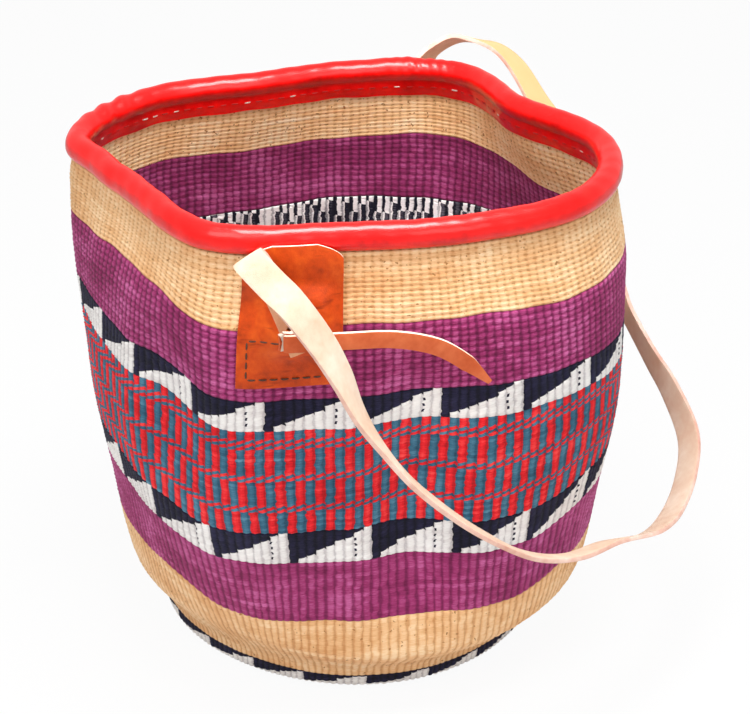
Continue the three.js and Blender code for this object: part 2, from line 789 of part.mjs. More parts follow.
function acrossHinge(direction) {
  return direction.clone().addScaledVector(hingeLine, -direction.dot(hingeLine)).normalize();
}
function along(from, direction, length) {
  return from.clone().addScaledVector(direction, length);
}
const rootDirection = acrossHinge(rootLean);
const foldDirection = acrossHinge(foldLean);
const fallDirection = acrossHinge(fallLean);
const backRootDirection = acrossHinge(up);
const foldTop = along(along(frontPivot, rootDirection, rootLength + foldRise), hingeLine, -foldOut);
const foldFall = along(along(foldTop, fallDirection, 2 * foldRise), hingeLine, -foldOut);
const routeStations = routeShares.map((s) => ({
  place: routePoint(...s.place),
  face: new THREE.Vector3(...s.face).normalize(),
  width: strapWidth,
}));
const frontEnd = along(along(frontPivot, rootDirection, -strapEndLength), hingeLine, -strapEndLift);
const backEnd = along(along(backPivot, backRootDirection, -strapEndLength), hingeLine, strapEndLift);
const backRootTop = along(backPivot, backRootDirection, backRootLength);
const backRootMiddle = along(backPivot, backRootDirection, backRootLength / 2);
const strapStations = [
  { place: frontEnd, face: hingeLine.clone(), width: strapWidth },
  { place: frontPivot.clone(), face: hingeLine.clone(), width: strapWidth },
  { place: along(frontPivot, rootDirection, rootLength / 2), face: hingeLine.clone(), width: strapWidth },
  { place: along(frontPivot, rootDirection, rootLength), face: hingeLine.clone(), width: strapWidth },
  { place: foldTop, face: foldDirection.clone(), width: strapWidth },
  { place: foldFall, face: hingeLine.clone().negate(), width: strapWidth },
  ...routeStations,
  { place: backRootTop, face: hingeLine.clone(), width: strapWidth },
  { place: backRootMiddle, face: hingeLine.clone(), width: strapWidth },
  { place: backPivot.clone(), face: hingeLine.clone(), width: strapWidth },
  { place: backEnd, face: hingeLine.clone(), width: strapWidth },
];
const strapSteps = 110;
const strapSolid = toManifold(stripGeometry(strapStations, strapSteps, strapThickness))
  .subtract(punch(frontPivot, hingeLine, strapHoleRadius))
  .subtract(punch(backPivot, hingeLine, strapHoleRadius));
addPiece('strap', fromManifold(strapSolid), strapColour, leatherRoughness);

// The laces. Each starts flat in the pocket behind its patch, comes out through the holes of the patch and
// the strap, turns back on itself to one side and runs off across the front as a free tail.

// The way through the holes, in shares of the loop's radius across and of the whole stack outwards
const throughShares = [
  { across: 0.25, out: 0.17, face: [-0.7, -0.7] },
  { across: 0, out: 0.4, face: [-1, 0] },
  { across: 0, out: 0.85, face: [-1, 0] },
];
// The loop in front of the strap, in shares of its radius across and outwards, and of the lace's width
const loopShares = [
  { across: -0.5, out: 0.25, face: [-0.7, -0.7], width: 0.7 },
  { across: -1.5, out: 0.6, face: [0.3, -1], width: 0.9 },
  { across: -2.1, out: 1.3, face: [1, 0], width: 1 },
  { across: -1.5, out: 2, face: [0.3, 1], width: 1 },
  { across: 0, out: 2.1, face: [0, 1], width: 1 },
];
const loopTopShare = 2.1;
// The tail, in shares of its reach, of how far it draws in and of its drop
const tailShares = [
  { across: 0.25, in: 0, drop: 0, width: 1 },
  { across: 0.5, in: 0.3, drop: 0.08, width: 1 },
  { across: 0.72, in: 0.6, drop: 0.3, width: 1 },
  { across: 0.88, in: 0.85, drop: 0.65, width: 0.95 },
  { across: 1, in: 1, drop: 1, width: 0.3 },
];
const laceSteps = 44;

function addLace(name, patch, hole, outward) {
  const right = up.clone().cross(outward).normalize().multiplyScalar(patch.side);
  const stackDepth = pocketDepth + patchThickness + strapStandOff + strapThickness + laceStrapGap;
  const armDepth = stackDepth + loopTopShare * laceLoopRadius;
  const wallFace = along(hole, outward, -(patchThickness + pocketDepth));
  const at = (across, out, rise) => along(along(along(wallFace, right, across), outward, out), up, rise);
  const facing = (across, out) => along(right.clone().multiplyScalar(across), outward, out);
  const hidden = (reach) => {
    const share = patch.turnShare + (patch.side * reach) / girth;
    const off = laceWallGap + laceThickness / 2;
    const face = wallNormal(angleAt(share), laceHoleHeight).negate();
    return { place: wallPoint(share, laceHoleHeight, -off), face, width: laceWidth };
  };
  const stations = [
    hidden(laceHiddenLength),
    hidden(laceHiddenLength / 2),
    ...throughShares.map((s) => ({
      place: at(s.across * laceLoopRadius, s.out * stackDepth, 0),
      face: facing(...s.face),
      width: laceNeckWidth,
    })),
    ...loopShares.map((s) => ({
      place: at(s.across * laceLoopRadius, stackDepth + s.out * laceLoopRadius, 0),
      face: facing(...s.face),
      width: s.width * laceWidth,
    })),
    ...tailShares.map((s) => ({
      place: at(s.across * tailReach, armDepth - s.in * tailIn, -s.drop * tailDrop),
      face: facing(0, 1),
      width: s.width * laceWidth,
    })),
  ];
  addPiece(name, stripGeometry(stations, laceSteps, laceThickness), laceColour, leatherRoughness);
}
addLace('front_lace', frontPatch, frontHole, frontOut);
addLace('back_lace', backPatch, backHole, backOut);

export default group;
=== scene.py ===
# %% [markdown]
# # A woven sisal basket with a leather rim and strap
#
# A kiondo is twined by hand from sisal yarn round stiff upright warps. This one has coloured bands, two rows
# of white and navy teeth, a wide red and teal band, a rim of red leather over a cane hoop, and one long
# leather strap that is laced to two stitched patches. The measured frame comes first: it gives the place of
# every piece, and every piece made here rides on one of its bodies.

# %% Load the measured frame
import bpy
import numpy as np
from mathutils import Matrix, Vector


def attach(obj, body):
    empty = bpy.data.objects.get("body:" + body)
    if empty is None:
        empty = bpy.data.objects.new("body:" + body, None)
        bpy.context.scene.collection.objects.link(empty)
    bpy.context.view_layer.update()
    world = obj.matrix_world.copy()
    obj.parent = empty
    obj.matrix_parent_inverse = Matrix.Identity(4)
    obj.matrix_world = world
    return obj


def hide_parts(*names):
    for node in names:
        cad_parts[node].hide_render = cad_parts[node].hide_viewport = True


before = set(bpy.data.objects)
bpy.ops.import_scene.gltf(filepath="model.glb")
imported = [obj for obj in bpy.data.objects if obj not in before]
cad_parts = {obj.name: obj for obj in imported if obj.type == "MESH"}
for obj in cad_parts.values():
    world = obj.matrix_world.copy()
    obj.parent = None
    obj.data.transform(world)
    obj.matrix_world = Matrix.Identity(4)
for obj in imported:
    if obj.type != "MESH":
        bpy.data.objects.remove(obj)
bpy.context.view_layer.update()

mm = 0.001

# %% [markdown]
# ## Working by hand in a script
#
# An operator acts on whatever is selected, so each piece is selected on its own before it is worked on. Short
# helpers do this, apply the modifiers, run an operator in edit mode, and read or write the corners of a mesh
# as one array. Lengths are written in millimetres, as on a maker's drawing, and turned to metres when they
# enter a mesh.

# %% Selecting, applying and edit mode
merge_distance = 0.001 * mm


def select_only(*pieces):
    bpy.ops.object.select_all(action="DESELECT")
    for piece in pieces:
        piece.select_set(True)
    bpy.context.view_layer.objects.active = pieces[0]


def apply_modifiers(piece):
    select_only(piece)
    for modifier in list(piece.modifiers):
        bpy.ops.object.modifier_apply(modifier=modifier.name)


def edit(piece, selecting, operator=None, **settings):
    """In edit mode, selects all or nothing of a piece, or keeps what is selected, and runs an operator."""
    select_only(piece)
    bpy.ops.object.mode_set(mode="EDIT")
    if selecting:
        bpy.ops.mesh.select_all(action=selecting)
    if operator:
        operator(**settings)
    bpy.ops.object.mode_set(mode="OBJECT")


def merge_seam(piece):
    edit(piece, "SELECT", bpy.ops.mesh.remove_doubles, threshold=merge_distance)


def smooth(piece, degrees):
    select_only(piece)
    bpy.ops.object.shade_smooth_by_angle(angle=np.radians(degrees))


print("seams merge within %.3f mm" % (merge_distance / mm))

# %% Corners, attributes and the UV map as arrays
def corners(piece):
    flat = np.empty(len(piece.data.vertices) * 3)
    piece.data.vertices.foreach_get("co", flat)
    return flat.reshape(-1, 3)


def move_corners(piece, places_mm):
    piece.data.vertices.foreach_set("co", (np.asarray(places_mm) * mm).ravel())
    piece.data.update()


def flat_sheet(name, across, up):
    """A grid sheet, and for each of its corners the column and row that it belongs to."""
    bpy.ops.object.select_all(action="DESELECT")
    bpy.ops.mesh.primitive_grid_add(x_subdivisions=across, y_subdivisions=up, size=1.0)
    sheet = bpy.context.object
    sheet.name = name
    sheet.data.name = name
    places = corners(sheet)
    column, row = (np.rint((places[:, axis] + 0.5) * count).astype(int)
                   for axis, count in ((0, across), (1, up)))
    return sheet, column, row


def set_values(piece, name, values, domain="POINT"):
    layer = piece.data.attributes.get(name) or piece.data.attributes.new(name, "FLOAT", domain)
    layer.data.foreach_set("value", np.asarray(values, dtype=np.float32))


def get_values(piece, name):
    layer = piece.data.attributes[name]
    values = np.empty(len(layer.data), dtype=np.float32)
    layer.data.foreach_get("value", values)
    return values.astype(float)


def lay_uv(piece, along, up):
    """Writes the UV map from two values per corner, both in centimetres on the real surface."""
    mesh = piece.data
    ends = np.empty(len(mesh.loops), dtype=int)
    mesh.loops.foreach_get("vertex_index", ends)
    mesh.uv_layers.active.data.foreach_set("uv", np.stack([along[ends], up[ends]], 1).ravel())


def tell(piece):
    low, high = corners(piece).min(0) / mm, corners(piece).max(0) / mm
    size = "%.0f x %.0f x %.0f mm" % tuple(high - low)
    print("%s: %d faces, %s" % (piece.name, len(piece.data.polygons), size))


print("helpers for corners are ready; %.0f mm make a metre" % (1 / mm))

# %% [markdown]
# ## The shape of the wall
#
# A soft basket is never a true cylinder. Its mouth is five-sided with a dent, its belly is rounder, its foot
# rounder still, and two dents run down its front. The wall could be sculpted, or lofted between outlines.
# Here it is a formula, the one that the measured model uses, because every stitch, patch and seam can then
# ask it for a point by two numbers: the share of the girth round the wall and the height up it. Only the left
# front side of the mouth is drawn a few millimetres straighter than in the model.

# %% Sizes of the basket, in millimetres
base_band_top = 17
lower_natural_top = 69
lower_purple_top = 109
lower_teeth_top = 131
zigzag_top = 198
upper_teeth_top = 216
upper_purple_top = 256
wall_top = 293
rim_height = 300
collar_height = 280
shoulder_height = 245
foot_height = 45
belly_height = 175
waist_height = 100
wall_thickness = 4
base_radius = 96
middle_x, middle_y = 3, -20
mouth_reaches = np.array([142, 115, 133, 118, 112, 137, 149, 124, 139, 123, 130, 147], float)
belly_reaches = np.array([153, 144, 136, 127, 128, 146, 149, 145, 161, 139, 151, 165], float)
foot_reaches = np.array([146, 134, 134, 132, 129, 145], float)
full_turn = 2 * np.pi
mouth_width = mouth_reaches[0] + mouth_reaches[6]
mouth_depth = mouth_reaches[3] + mouth_reaches[9]
print("mouth %.0f mm wide, %.0f mm deep" % (mouth_width, mouth_depth))

# %% Curves through measured values
def reach_at(reaches, angle):
    count = len(reaches)
    place = (angle / full_turn * count) % count
    index = np.floor(place).astype(int)
    t = place - index
    before, start, end, after = (reaches[(index + k) % count] for k in (-1, 0, 1, 2))
    bend = 2 * before - 5 * start + 4 * end - after
    twist = 3 * start - before - 3 * end + after
    return 0.5 * (2 * start + (end - before) * t + bend * t * t + twist * t ** 3)


def station_curve(places, values, place):
    places = np.asarray(places, float)
    steps = (values[1:] - values[:-1]) / np.diff(places)[:, None]
    product = steps[:-1] * steps[1:]
    total = steps[:-1] + steps[1:]
    inner = np.where(product > 0, 2 * product / np.where(product > 0, total, 1), 0)
    slopes = np.concatenate([steps[:1], inner, steps[-1:]])
    span = np.clip(np.searchsorted(places, place, side="right") - 1, 0, len(places) - 2)
    pick = np.arange(len(place))
    length = places[span + 1] - places[span]
    t = (place - places[span]) / length
    s = 1 - t
    return (values[span, pick] * s * s * (1 + 2 * t) + values[span + 1, pick] * t * t * (3 - 2 * t)
            + slopes[span, pick] * length * t * s * s - slopes[span + 1, pick] * length * t * t * s)


def hump(offset, half):
    return np.where(np.abs(offset) < half, 0.5 + 0.5 * np.cos(np.pi * offset / half), 0)


def smoothstep(value, low, high):
    t = np.clip((value - low) / (high - low), 0, 1)
    return t * t * (3 - 2 * t)


def plateau(offset, half, fade):
    return 1 - smoothstep(np.abs(offset), half, half + fade)


def turn_between(start, end):
    return (end - start + np.pi) % full_turn - np.pi


def degrees_from(angle, middle):
    return np.degrees(turn_between(np.radians(middle), angle))


print("the mouth reaches %.1f mm straight ahead" % reach_at(mouth_reaches, np.array(0.75 * full_turn)))

# %% The wall's formula
station_heights = [0, 0.09 * foot_height, 0.36 * foot_height, foot_height, waist_height, belly_height,
                   shoulder_height, collar_height, rim_height]
foot_round_low, foot_round_high = 0.45, 0.5
shoulder_share, shoulder_full, collar_full = 0.55, 5, 4
# Changes at the left front of the mouth: middle and half width in degrees, and millimetres outwards.
mouth_changes = [(212, 14, 3.0), (190, 12, -5.0), (233, 9, -1.0)]
# Dents: middle and half width as shares of the turn, middle and half of the height, and depth.
dents = [(-0.203, 0.047, 146, 126, 14), (-0.35, 0.051, 190, 88, 14)]


def wall_reach(angle, height):
    mouth = reach_at(mouth_reaches, angle)
    for middle, half, change in mouth_changes:
        mouth = mouth + change * hump(degrees_from(angle, middle), half)
    belly = reach_at(belly_reaches, angle)
    foot = reach_at(foot_reaches, angle)
    base = np.full_like(foot, base_radius)
    values = np.stack([base, base + (foot - base) * foot_round_low, base + (foot - base) * foot_round_high,
                       foot, (foot + belly) / 2, belly,
                       belly + (mouth - belly) * shoulder_share + shoulder_full, mouth + collar_full, mouth])
    reach = station_curve(station_heights, values, height)
    for middle, half, middle_height, half_height, depth in dents:
        sunk = hump(turn_between(middle * full_turn, angle), half * full_turn)
        reach = reach - sunk * hump(height - middle_height, half_height) * depth
    return reach


def outer_point(angle, height):
    lean = np.minimum(height / collar_height, 1)
    reach = wall_reach(angle, height)
    return np.stack([middle_x * lean + reach * np.cos(angle),
                     middle_y * lean + reach * np.sin(angle), height], -1)


print("the wall has %d heights and %d dents" % (len(station_heights), len(dents)))

# %% The girth, and points on the wall
turn_nudge, height_nudge = 0.004, 0.6
girth_angles = np.linspace(0, full_turn, 721)
belly_line = outer_point(girth_angles, np.full(len(girth_angles), float(belly_height)))
girth_table = np.concatenate([[0], np.cumsum(np.linalg.norm(np.diff(belly_line, axis=0), axis=1))])
girth = girth_table[-1]


def angle_at(share):
    turns = np.floor(share)
    return np.interp((share - turns) * girth, girth_table, girth_angles) + turns * full_turn


def wall_normal(angle, height):
    along = outer_point(angle + turn_nudge, height) - outer_point(angle - turn_nudge, height)
    low, high = np.maximum(height - height_nudge, 0), np.minimum(height + height_nudge, rim_height)
    outward = np.cross(along, outer_point(angle, high) - outer_point(angle, low))
    return outward / np.linalg.norm(outward, axis=-1, keepdims=True)


def wall_point(share, height, depth):
    share, height, depth = np.broadcast_arrays(np.atleast_1d(share).astype(float), height, depth)
    height = height.astype(float)
    angle = angle_at(share)
    return outer_point(angle, height) - wall_normal(angle, height) * depth[..., None]


print("girth at the belly: %.1f mm" % girth)

# %% [markdown]
# ## Camera, floor and light
#
# The photograph was taken from a little above, with a long lens, against white. The lamps are soft, so that
# a colour shows about as it is written: two large ones in front, and a smaller one over the mouth, which
# lights the inside. The floor is a plain pale sheet that keeps a faint shadow. Only what the camera sees of
# the floor and the world is brightened to white.

# %% Camera
lens_length, sensor_width = 90.42, 36
camera_place = (0.019, -0.9844, 0.6848)
camera_tilt = np.radians(61.8)
camera_data = bpy.data.cameras.new("camera")
camera_data.lens = lens_length
camera_data.sensor_width = sensor_width
camera = bpy.data.objects.new("camera", camera_data)
camera.location = camera_place
camera.rotation_euler = (camera_tilt, 0, 0)
bpy.context.scene.collection.objects.link(camera)
bpy.context.scene.camera = camera
bpy.context.scene.view_settings.view_transform = "Standard"
print("camera at", tuple(round(value, 3) for value in camera.location))

# %% [markdown]
# ## Colours and nodes
#
# A picture's colour is written as an sRGB hex value, but a shader reads linear light, so one function turns
# the one into the other. Materials are graphs of nodes. They could be wired by hand in the editor; a function
# that adds a node, sets it and links it at once keeps each graph readable from its first node to its last.

# %% Colours and nodes
def colour(text):
    """An sRGB hex colour as the linear colour that a shader reads."""
    parts = [int(text[start:start + 2], 16) / 255 for start in (1, 3, 5)]
    linear = [part / 12.92 if part <= 0.04045 else ((part + 0.055) / 1.055) ** 2.4 for part in parts]
    return tuple(linear) + (1,)


def add_node(tree, kind, inputs=None, **settings):
    """Adds a shader node with its settings. An input is a value, or an output of another node to link."""
    node = tree.nodes.new("ShaderNode" + kind)
    for key, value in settings.items():
        setattr(node, key, value)
    for key, value in (inputs or {}).items():
        if isinstance(value, bpy.types.NodeSocket):
            tree.links.new(value, node.inputs[key])
        else:
            node.inputs[key].default_value = value
    return node


def new_material(name):
    material = bpy.data.materials.new(name)
    material.use_nodes = True
    material.node_tree.nodes.clear()
    return material, material.node_tree


print("middle grey #808080 is %.3f in linear light" % colour("#808080")[0])

# %% Floor, world and lamps
floor_size = 6.0
glow_share, world_strength = 0.94, 0.52
bpy.ops.object.select_all(action="DESELECT")
bpy.ops.mesh.primitive_plane_add(size=floor_size, location=(0, 0, 0))
floor = bpy.context.object
floor.name = "floor"
paper, tree = new_material("matt white paper")
seen = add_node(tree, "LightPath")
sheet_white = add_node(tree, "BsdfDiffuse", {"Color": colour("#dadada")})
glow = add_node(tree, "Emission", {"Color": colour("#ffffff"), "Strength": 1.0})
share_seen = add_node(tree, "Math", {0: seen.outputs["Is Camera Ray"], 1: glow_share}, operation="MULTIPLY")
mixed = add_node(tree, "MixShader", {0: share_seen.outputs[0], 1: sheet_white.outputs[0],
                                     2: glow.outputs[0]})
add_node(tree, "OutputMaterial", {"Surface": mixed.outputs[0]})
floor.data.materials.append(paper)

world = bpy.data.worlds.new("studio")
bpy.context.scene.world = world
world.use_nodes = True
tree = world.node_tree
tree.nodes.clear()
seen = add_node(tree, "LightPath")
direct = add_node(tree, "Math", {0: seen.outputs["Is Camera Ray"], 1: seen.outputs["Is Transmission Ray"]},
                  operation="MAXIMUM")
soft = add_node(tree, "Background", {"Color": colour("#ffffff"), "Strength": world_strength})
white = add_node(tree, "Background", {"Color": colour("#ffffff"), "Strength": 1.0})
mixed = add_node(tree, "MixShader", {0: direct.outputs[0], 1: soft.outputs[0], 2: white.outputs[0]})
add_node(tree, "OutputWorld", {"Surface": mixed.outputs[0]})


def softbox(name, place, aim, size, watts):
    data = bpy.data.lights.new(name, "AREA")
    data.shape = "RECTANGLE"
    data.size, data.size_y = size
    data.energy = watts
    lamp = bpy.data.objects.new(name, data)
    lamp.location = place
    lamp.rotation_euler = (Vector(aim) - Vector(place)).to_track_quat("-Z", "Y").to_euler()
    bpy.context.scene.collection.objects.link(lamp)


softbox("overhead softbox", (0.05, -0.17, 0.92), (0, 0.08, 0.25), (0.4, 0.3), 8.5)
softbox("high front softbox", (-0.7, -1.1, 1.4), (0, 0, 0.2), (0.9, 0.9), 10)
softbox("front right softbox", (0.8, -1.5, 1.0), (0, 0, 0.15), (0.9, 0.9), 5.5)
print("floor, world and three softboxes are set")

# %% [markdown]
# ## Sisal yarn
#
# Sisal is a hard leaf fibre, split, dyed and rolled into two-ply yarn on the thigh. Its finish is matt, with
# straight fibres that catch the light along the yarn and a tone that drifts from stretch to stretch, and it
# lies
# in deep shade between stitches. The colour could be one flat value. Here it reads three things from the mesh:
# how high a point stands in its stitch, by which shade is painted into the gaps and the crests are painted
# paler; the tone of its stitch; and a fibre pattern that follows the yarn.

# %% The yarn finish
fibres_per_cm = (2.2, 24, 1)
drifts_per_metre, flecks_per_metre = 38.0, 420.0
fleck_start, fleck_full = 0.70, 0.74


def sisal(name, deep, middle, light, gap_shade, fibre_share=0.55, fleck=None, fleck_share=0.0, tone_name="tone"):
    """Dyed sisal: fibres 0.4 mm across and 5 mm long, drawn along the yarn. UV units are centimetres."""
    material, tree = new_material(name)
    surface = add_node(tree, "UVMap", uv_map="UVMap")
    fibre_place = add_node(tree, "Mapping", {"Vector": surface.outputs["UV"], "Scale": fibres_per_cm})
    fibre = add_node(tree, "TexNoise", {"Vector": fibre_place.outputs[0], "Scale": 1.0, "Detail": 3.0,
                                        "Roughness": 0.65})
    spot = add_node(tree, "TexCoord")
    drift = add_node(tree, "TexNoise", {"Vector": spot.outputs["Object"], "Scale": drifts_per_metre,
                                        "Detail": 2.0})
    tone = add_node(tree, "Attribute", attribute_name=tone_name)
    crest = add_node(tree, "Attribute", attribute_name="crest")
    fibre_tone = add_node(tree, "MapRange", {"Value": fibre.outputs["Fac"], "From Min": 0.3, "From Max": 0.7,
                                             "To Min": -fibre_share / 2, "To Max": fibre_share / 2})
    drift_tone = add_node(tree, "MapRange", {"Value": drift.outputs["Fac"], "From Min": 0.3, "From Max": 0.7,
                                             "To Min": 0.3, "To Max": 0.7})
    together = add_node(tree, "Math", {0: fibre_tone.outputs[0], 1: drift_tone.outputs[0]}, operation="ADD")
    together = add_node(tree, "Math", {0: together.outputs[0], 1: tone.outputs["Fac"]}, operation="ADD")
    # Painted highlight: the crest lifts the tone on each stitch's crown and lowers it in its troughs.
    crown = add_node(tree, "Math", {0: crest.outputs["Fac"], 1: 0.75}, operation="SUBTRACT")
    together = add_node(tree, "Math", {0: crown.outputs[0], 1: 0.5, 2: together.outputs[0]},
                        operation="MULTIPLY_ADD")
    dye = add_node(tree, "ValToRGB", {"Fac": together.outputs[0]})
    dye.color_ramp.elements[0].color = colour(deep)
    dye.color_ramp.elements[1].color = colour(light)
    dye.color_ramp.elements.new(0.5).color = colour(middle)
    dyed = dye.outputs["Color"]
    if fleck:
        flecks = add_node(tree, "TexNoise", {"Vector": spot.outputs["Object"], "Scale": flecks_per_metre,
                                             "Detail": 1.0})
        marked = add_node(tree, "MapRange", {"Value": flecks.outputs["Fac"],
                                             "From Min": fleck_start - fleck_share,
                                             "From Max": fleck_full - fleck_share})
        dyed = add_node(tree, "Mix", {"Factor": marked.outputs[0], "A": dyed, "B": colour(fleck)},
                        data_type="RGBA").outputs["Result"]
    # Painted shade: where the crest is low, between stitches, the colour goes over into the gap's shade
    # colour.
    clear_of_painted_shade = add_node(tree, "MapRange", {"Value": crest.outputs["Fac"], "From Min": 0.0, "From Max": 0.55})
    shaded = add_node(tree, "Mix", {"Factor": clear_of_painted_shade.outputs[0], "A": colour(gap_shade), "B": dyed},
                      data_type="RGBA")
    bump = add_node(tree, "Bump", {"Height": fibre.outputs["Fac"], "Strength": 0.5, "Distance": 0.0004})
    yarn = add_node(tree, "BsdfPrincipled", {
        "Base Color": shaded.outputs["Result"], "Normal": bump.outputs[0], "Roughness": 0.8,
        "Specular IOR Level": 0.18, "Sheen Weight": 0.04, "Sheen Roughness": 0.6})
    add_node(tree, "OutputMaterial", {"Surface": yarn.outputs[0]})
    return material


# Natural sisal is straw coloured with brown flecks. Every yarn has a colour of painted shade for the gaps
# between its stitches, and its crests are painted paler. The inner sides are copies with painted light and
# shade: the natural one is painted lighter and the purple one a little darker. The yarn that is carried behind
# the teeth changes colour from stitch to stitch.
natural_sisal = sisal("natural sisal yarn", "#d5975f", "#ecbb87", "#fbdcb2", "#b37a49", fleck="#b07a48")
purple_sisal = sisal("purple dyed sisal yarn", "#761b49", "#9f346b", "#cf6ca4", "#501336")
inner_natural_painted_lighter = sisal("natural sisal yarn, inner side painted lighter", "#e2a66c", "#fad09a", "#ffecc8", "#bd8752",
                      fleck="#a06a3a", fleck_share=0.02)
inner_purple_painted_darker = sisal("purple dyed sisal yarn, inner side painted darker", "#6c1844", "#902e62", "#c06098", "#481030")
navy_sisal = sisal("navy dyed sisal yarn", "#0a0918", "#17152e", "#2c2a48", "#04040b")
white_sisal = sisal("bleached sisal yarn", "#cdc5c2", "#ece8e5", "#fdfbf7", "#a8a0a6", fibre_share=0.4)
red_sisal = sisal("red dyed sisal yarn", "#c4101a", "#f0222c", "#ff5350", "#500c16")
teal_sisal = sisal("teal dyed sisal yarn", "#28526a", "#3f708a", "#6293aa", "#142230")
grey_green_sisal = sisal("grey-green dyed sisal yarn", "#5c6e69", "#7c8d87", "#a0aea8", "#2f3b38")
streak_back = sisal("navy and white yarn carried behind the teeth", "#110f22", "#77727e", "#f1eeee",
                    "#0c0a16", tone_name="streak")
print("yarn finishes:", ", ".join(finish.name for finish in bpy.data.materials if "yarn" in finish.name))

# %% [markdown]
# ## Twining the bands
#
# Each weft row passes over one warp after another, so the wall is a grid of small pillows, 180 warps round.
# Pillows could be a bump texture, but the photograph shows real relief: ribs, dark gaps and a stepped edge
# where colours meet. So each band is a grid sheet with a few corners to every stitch. It is laid on the
# wall, given its thickness, and then every corner is raised or sunk to its place in its stitch.

# %% Warps, rows and their small unevenness
warp_count = 180
seed = 7
random = np.random.default_rng(seed)
# Each warp stands off its even place by a slow drift and a jitter of its own, as shares of the spacing.
warp_drift, warp_jitter = 0.16, 0.035
warp_shift = np.convolve(np.tile(random.normal(0, 1, warp_count), 3), np.hanning(9) / 4, "same")
warp_shift = warp_drift * warp_shift[warp_count:2 * warp_count]
warp_shift = warp_shift + random.uniform(-warp_jitter, warp_jitter, warp_count)
# Rows wave up and down: millimetres, waves round the basket, and millimetres of height for a turn of phase.
row_waves = [(0.8, 5, 31), (0.5, 11, -23), (0.25, 29, 9)]
# Places where the rows hang: middle, half and fade as shares of the girth, millimetres upwards, and then the
# middle, half and fade of the height.
hanging = [(0.66, 0.02, 0.05, -5.0, lower_natural_top, 10, 30), (0.27, 0.1, 0.05, -3.5, 202, 8, 30),
           (0.06, 0.02, 0.03, -5.0, upper_purple_top, 4, 35)]
climb_left = climb_right = 8.0
foot_sag = -5.0


def round_from(share, centre):
    return (share - centre + 0.5) % 1 - 0.5


def row_drift(share, height):
    """Rows of hand work wander by a millimetre or so. The soft basket has also slumped: its bands climb at
    the left side and low on the right, and hang at the front left corner, at two places behind and all
    round the foot. Near the rim, which holds them, the rows are even."""
    turn = share * full_turn
    wave = sum(size * np.sin(waves * turn + height / length) for size, waves, length in row_waves)
    left = climb_left * plateau(round_from(share, 0.55), 0.055, 0.05)
    right = climb_right * plateau(round_from(share, 0.93), 0.03, 0.05)
    right = right * (1 - smoothstep(height, lower_teeth_top, upper_teeth_top))
    slump = (left + right) * smoothstep(height, 30, 80)
    slump = slump + foot_sag * smoothstep(height, 0, 14) * (1 - smoothstep(height, 20, 55))
    for middle, half, fade, upwards, level, level_half, level_fade in hanging:
        slump = slump + upwards * (plateau(round_from(share, middle), half, fade)
                                   * plateau(height - level, level_half, level_fade))
    return (wave * smoothstep(height, 8, 30) * (1 - smoothstep(height, 262, 285))
            + slump * (1 - smoothstep(height, upper_purple_top, 290)))


run_share, stitch_share = 0.75, 0.5


def stitch_tones(rows, spread, run):
    """A tone for every stitch, alike along a run of the same row because it is the same stretch of yarn."""
    tones = random.normal(0, 1, (warp_count * 3, rows))
    window = np.hanning(run + 2)
    runs = np.apply_along_axis(lambda line: np.convolve(line, window / np.sqrt((window ** 2).sum()), "same"),
                               0, tones)[warp_count:2 * warp_count]
    return spread * (run_share * runs + stitch_share * random.normal(0, 1, (warp_count, rows)))


print("warps stand %.1f mm apart at the belly" % (girth / warp_count))

# %% One band of weaving
# Where the corners of a rib stand, as shares of the spacing, for three and for four corners per warp.
rib_places = {3: np.array([-0.4, 0.0, 0.4]), 4: np.array([-0.42, -0.18, 0.18, 0.42])}
stitch_wander, stitch_plumpness, relief_sunk = 0.05, 0.09, 0.72
swapped_share = 0.15


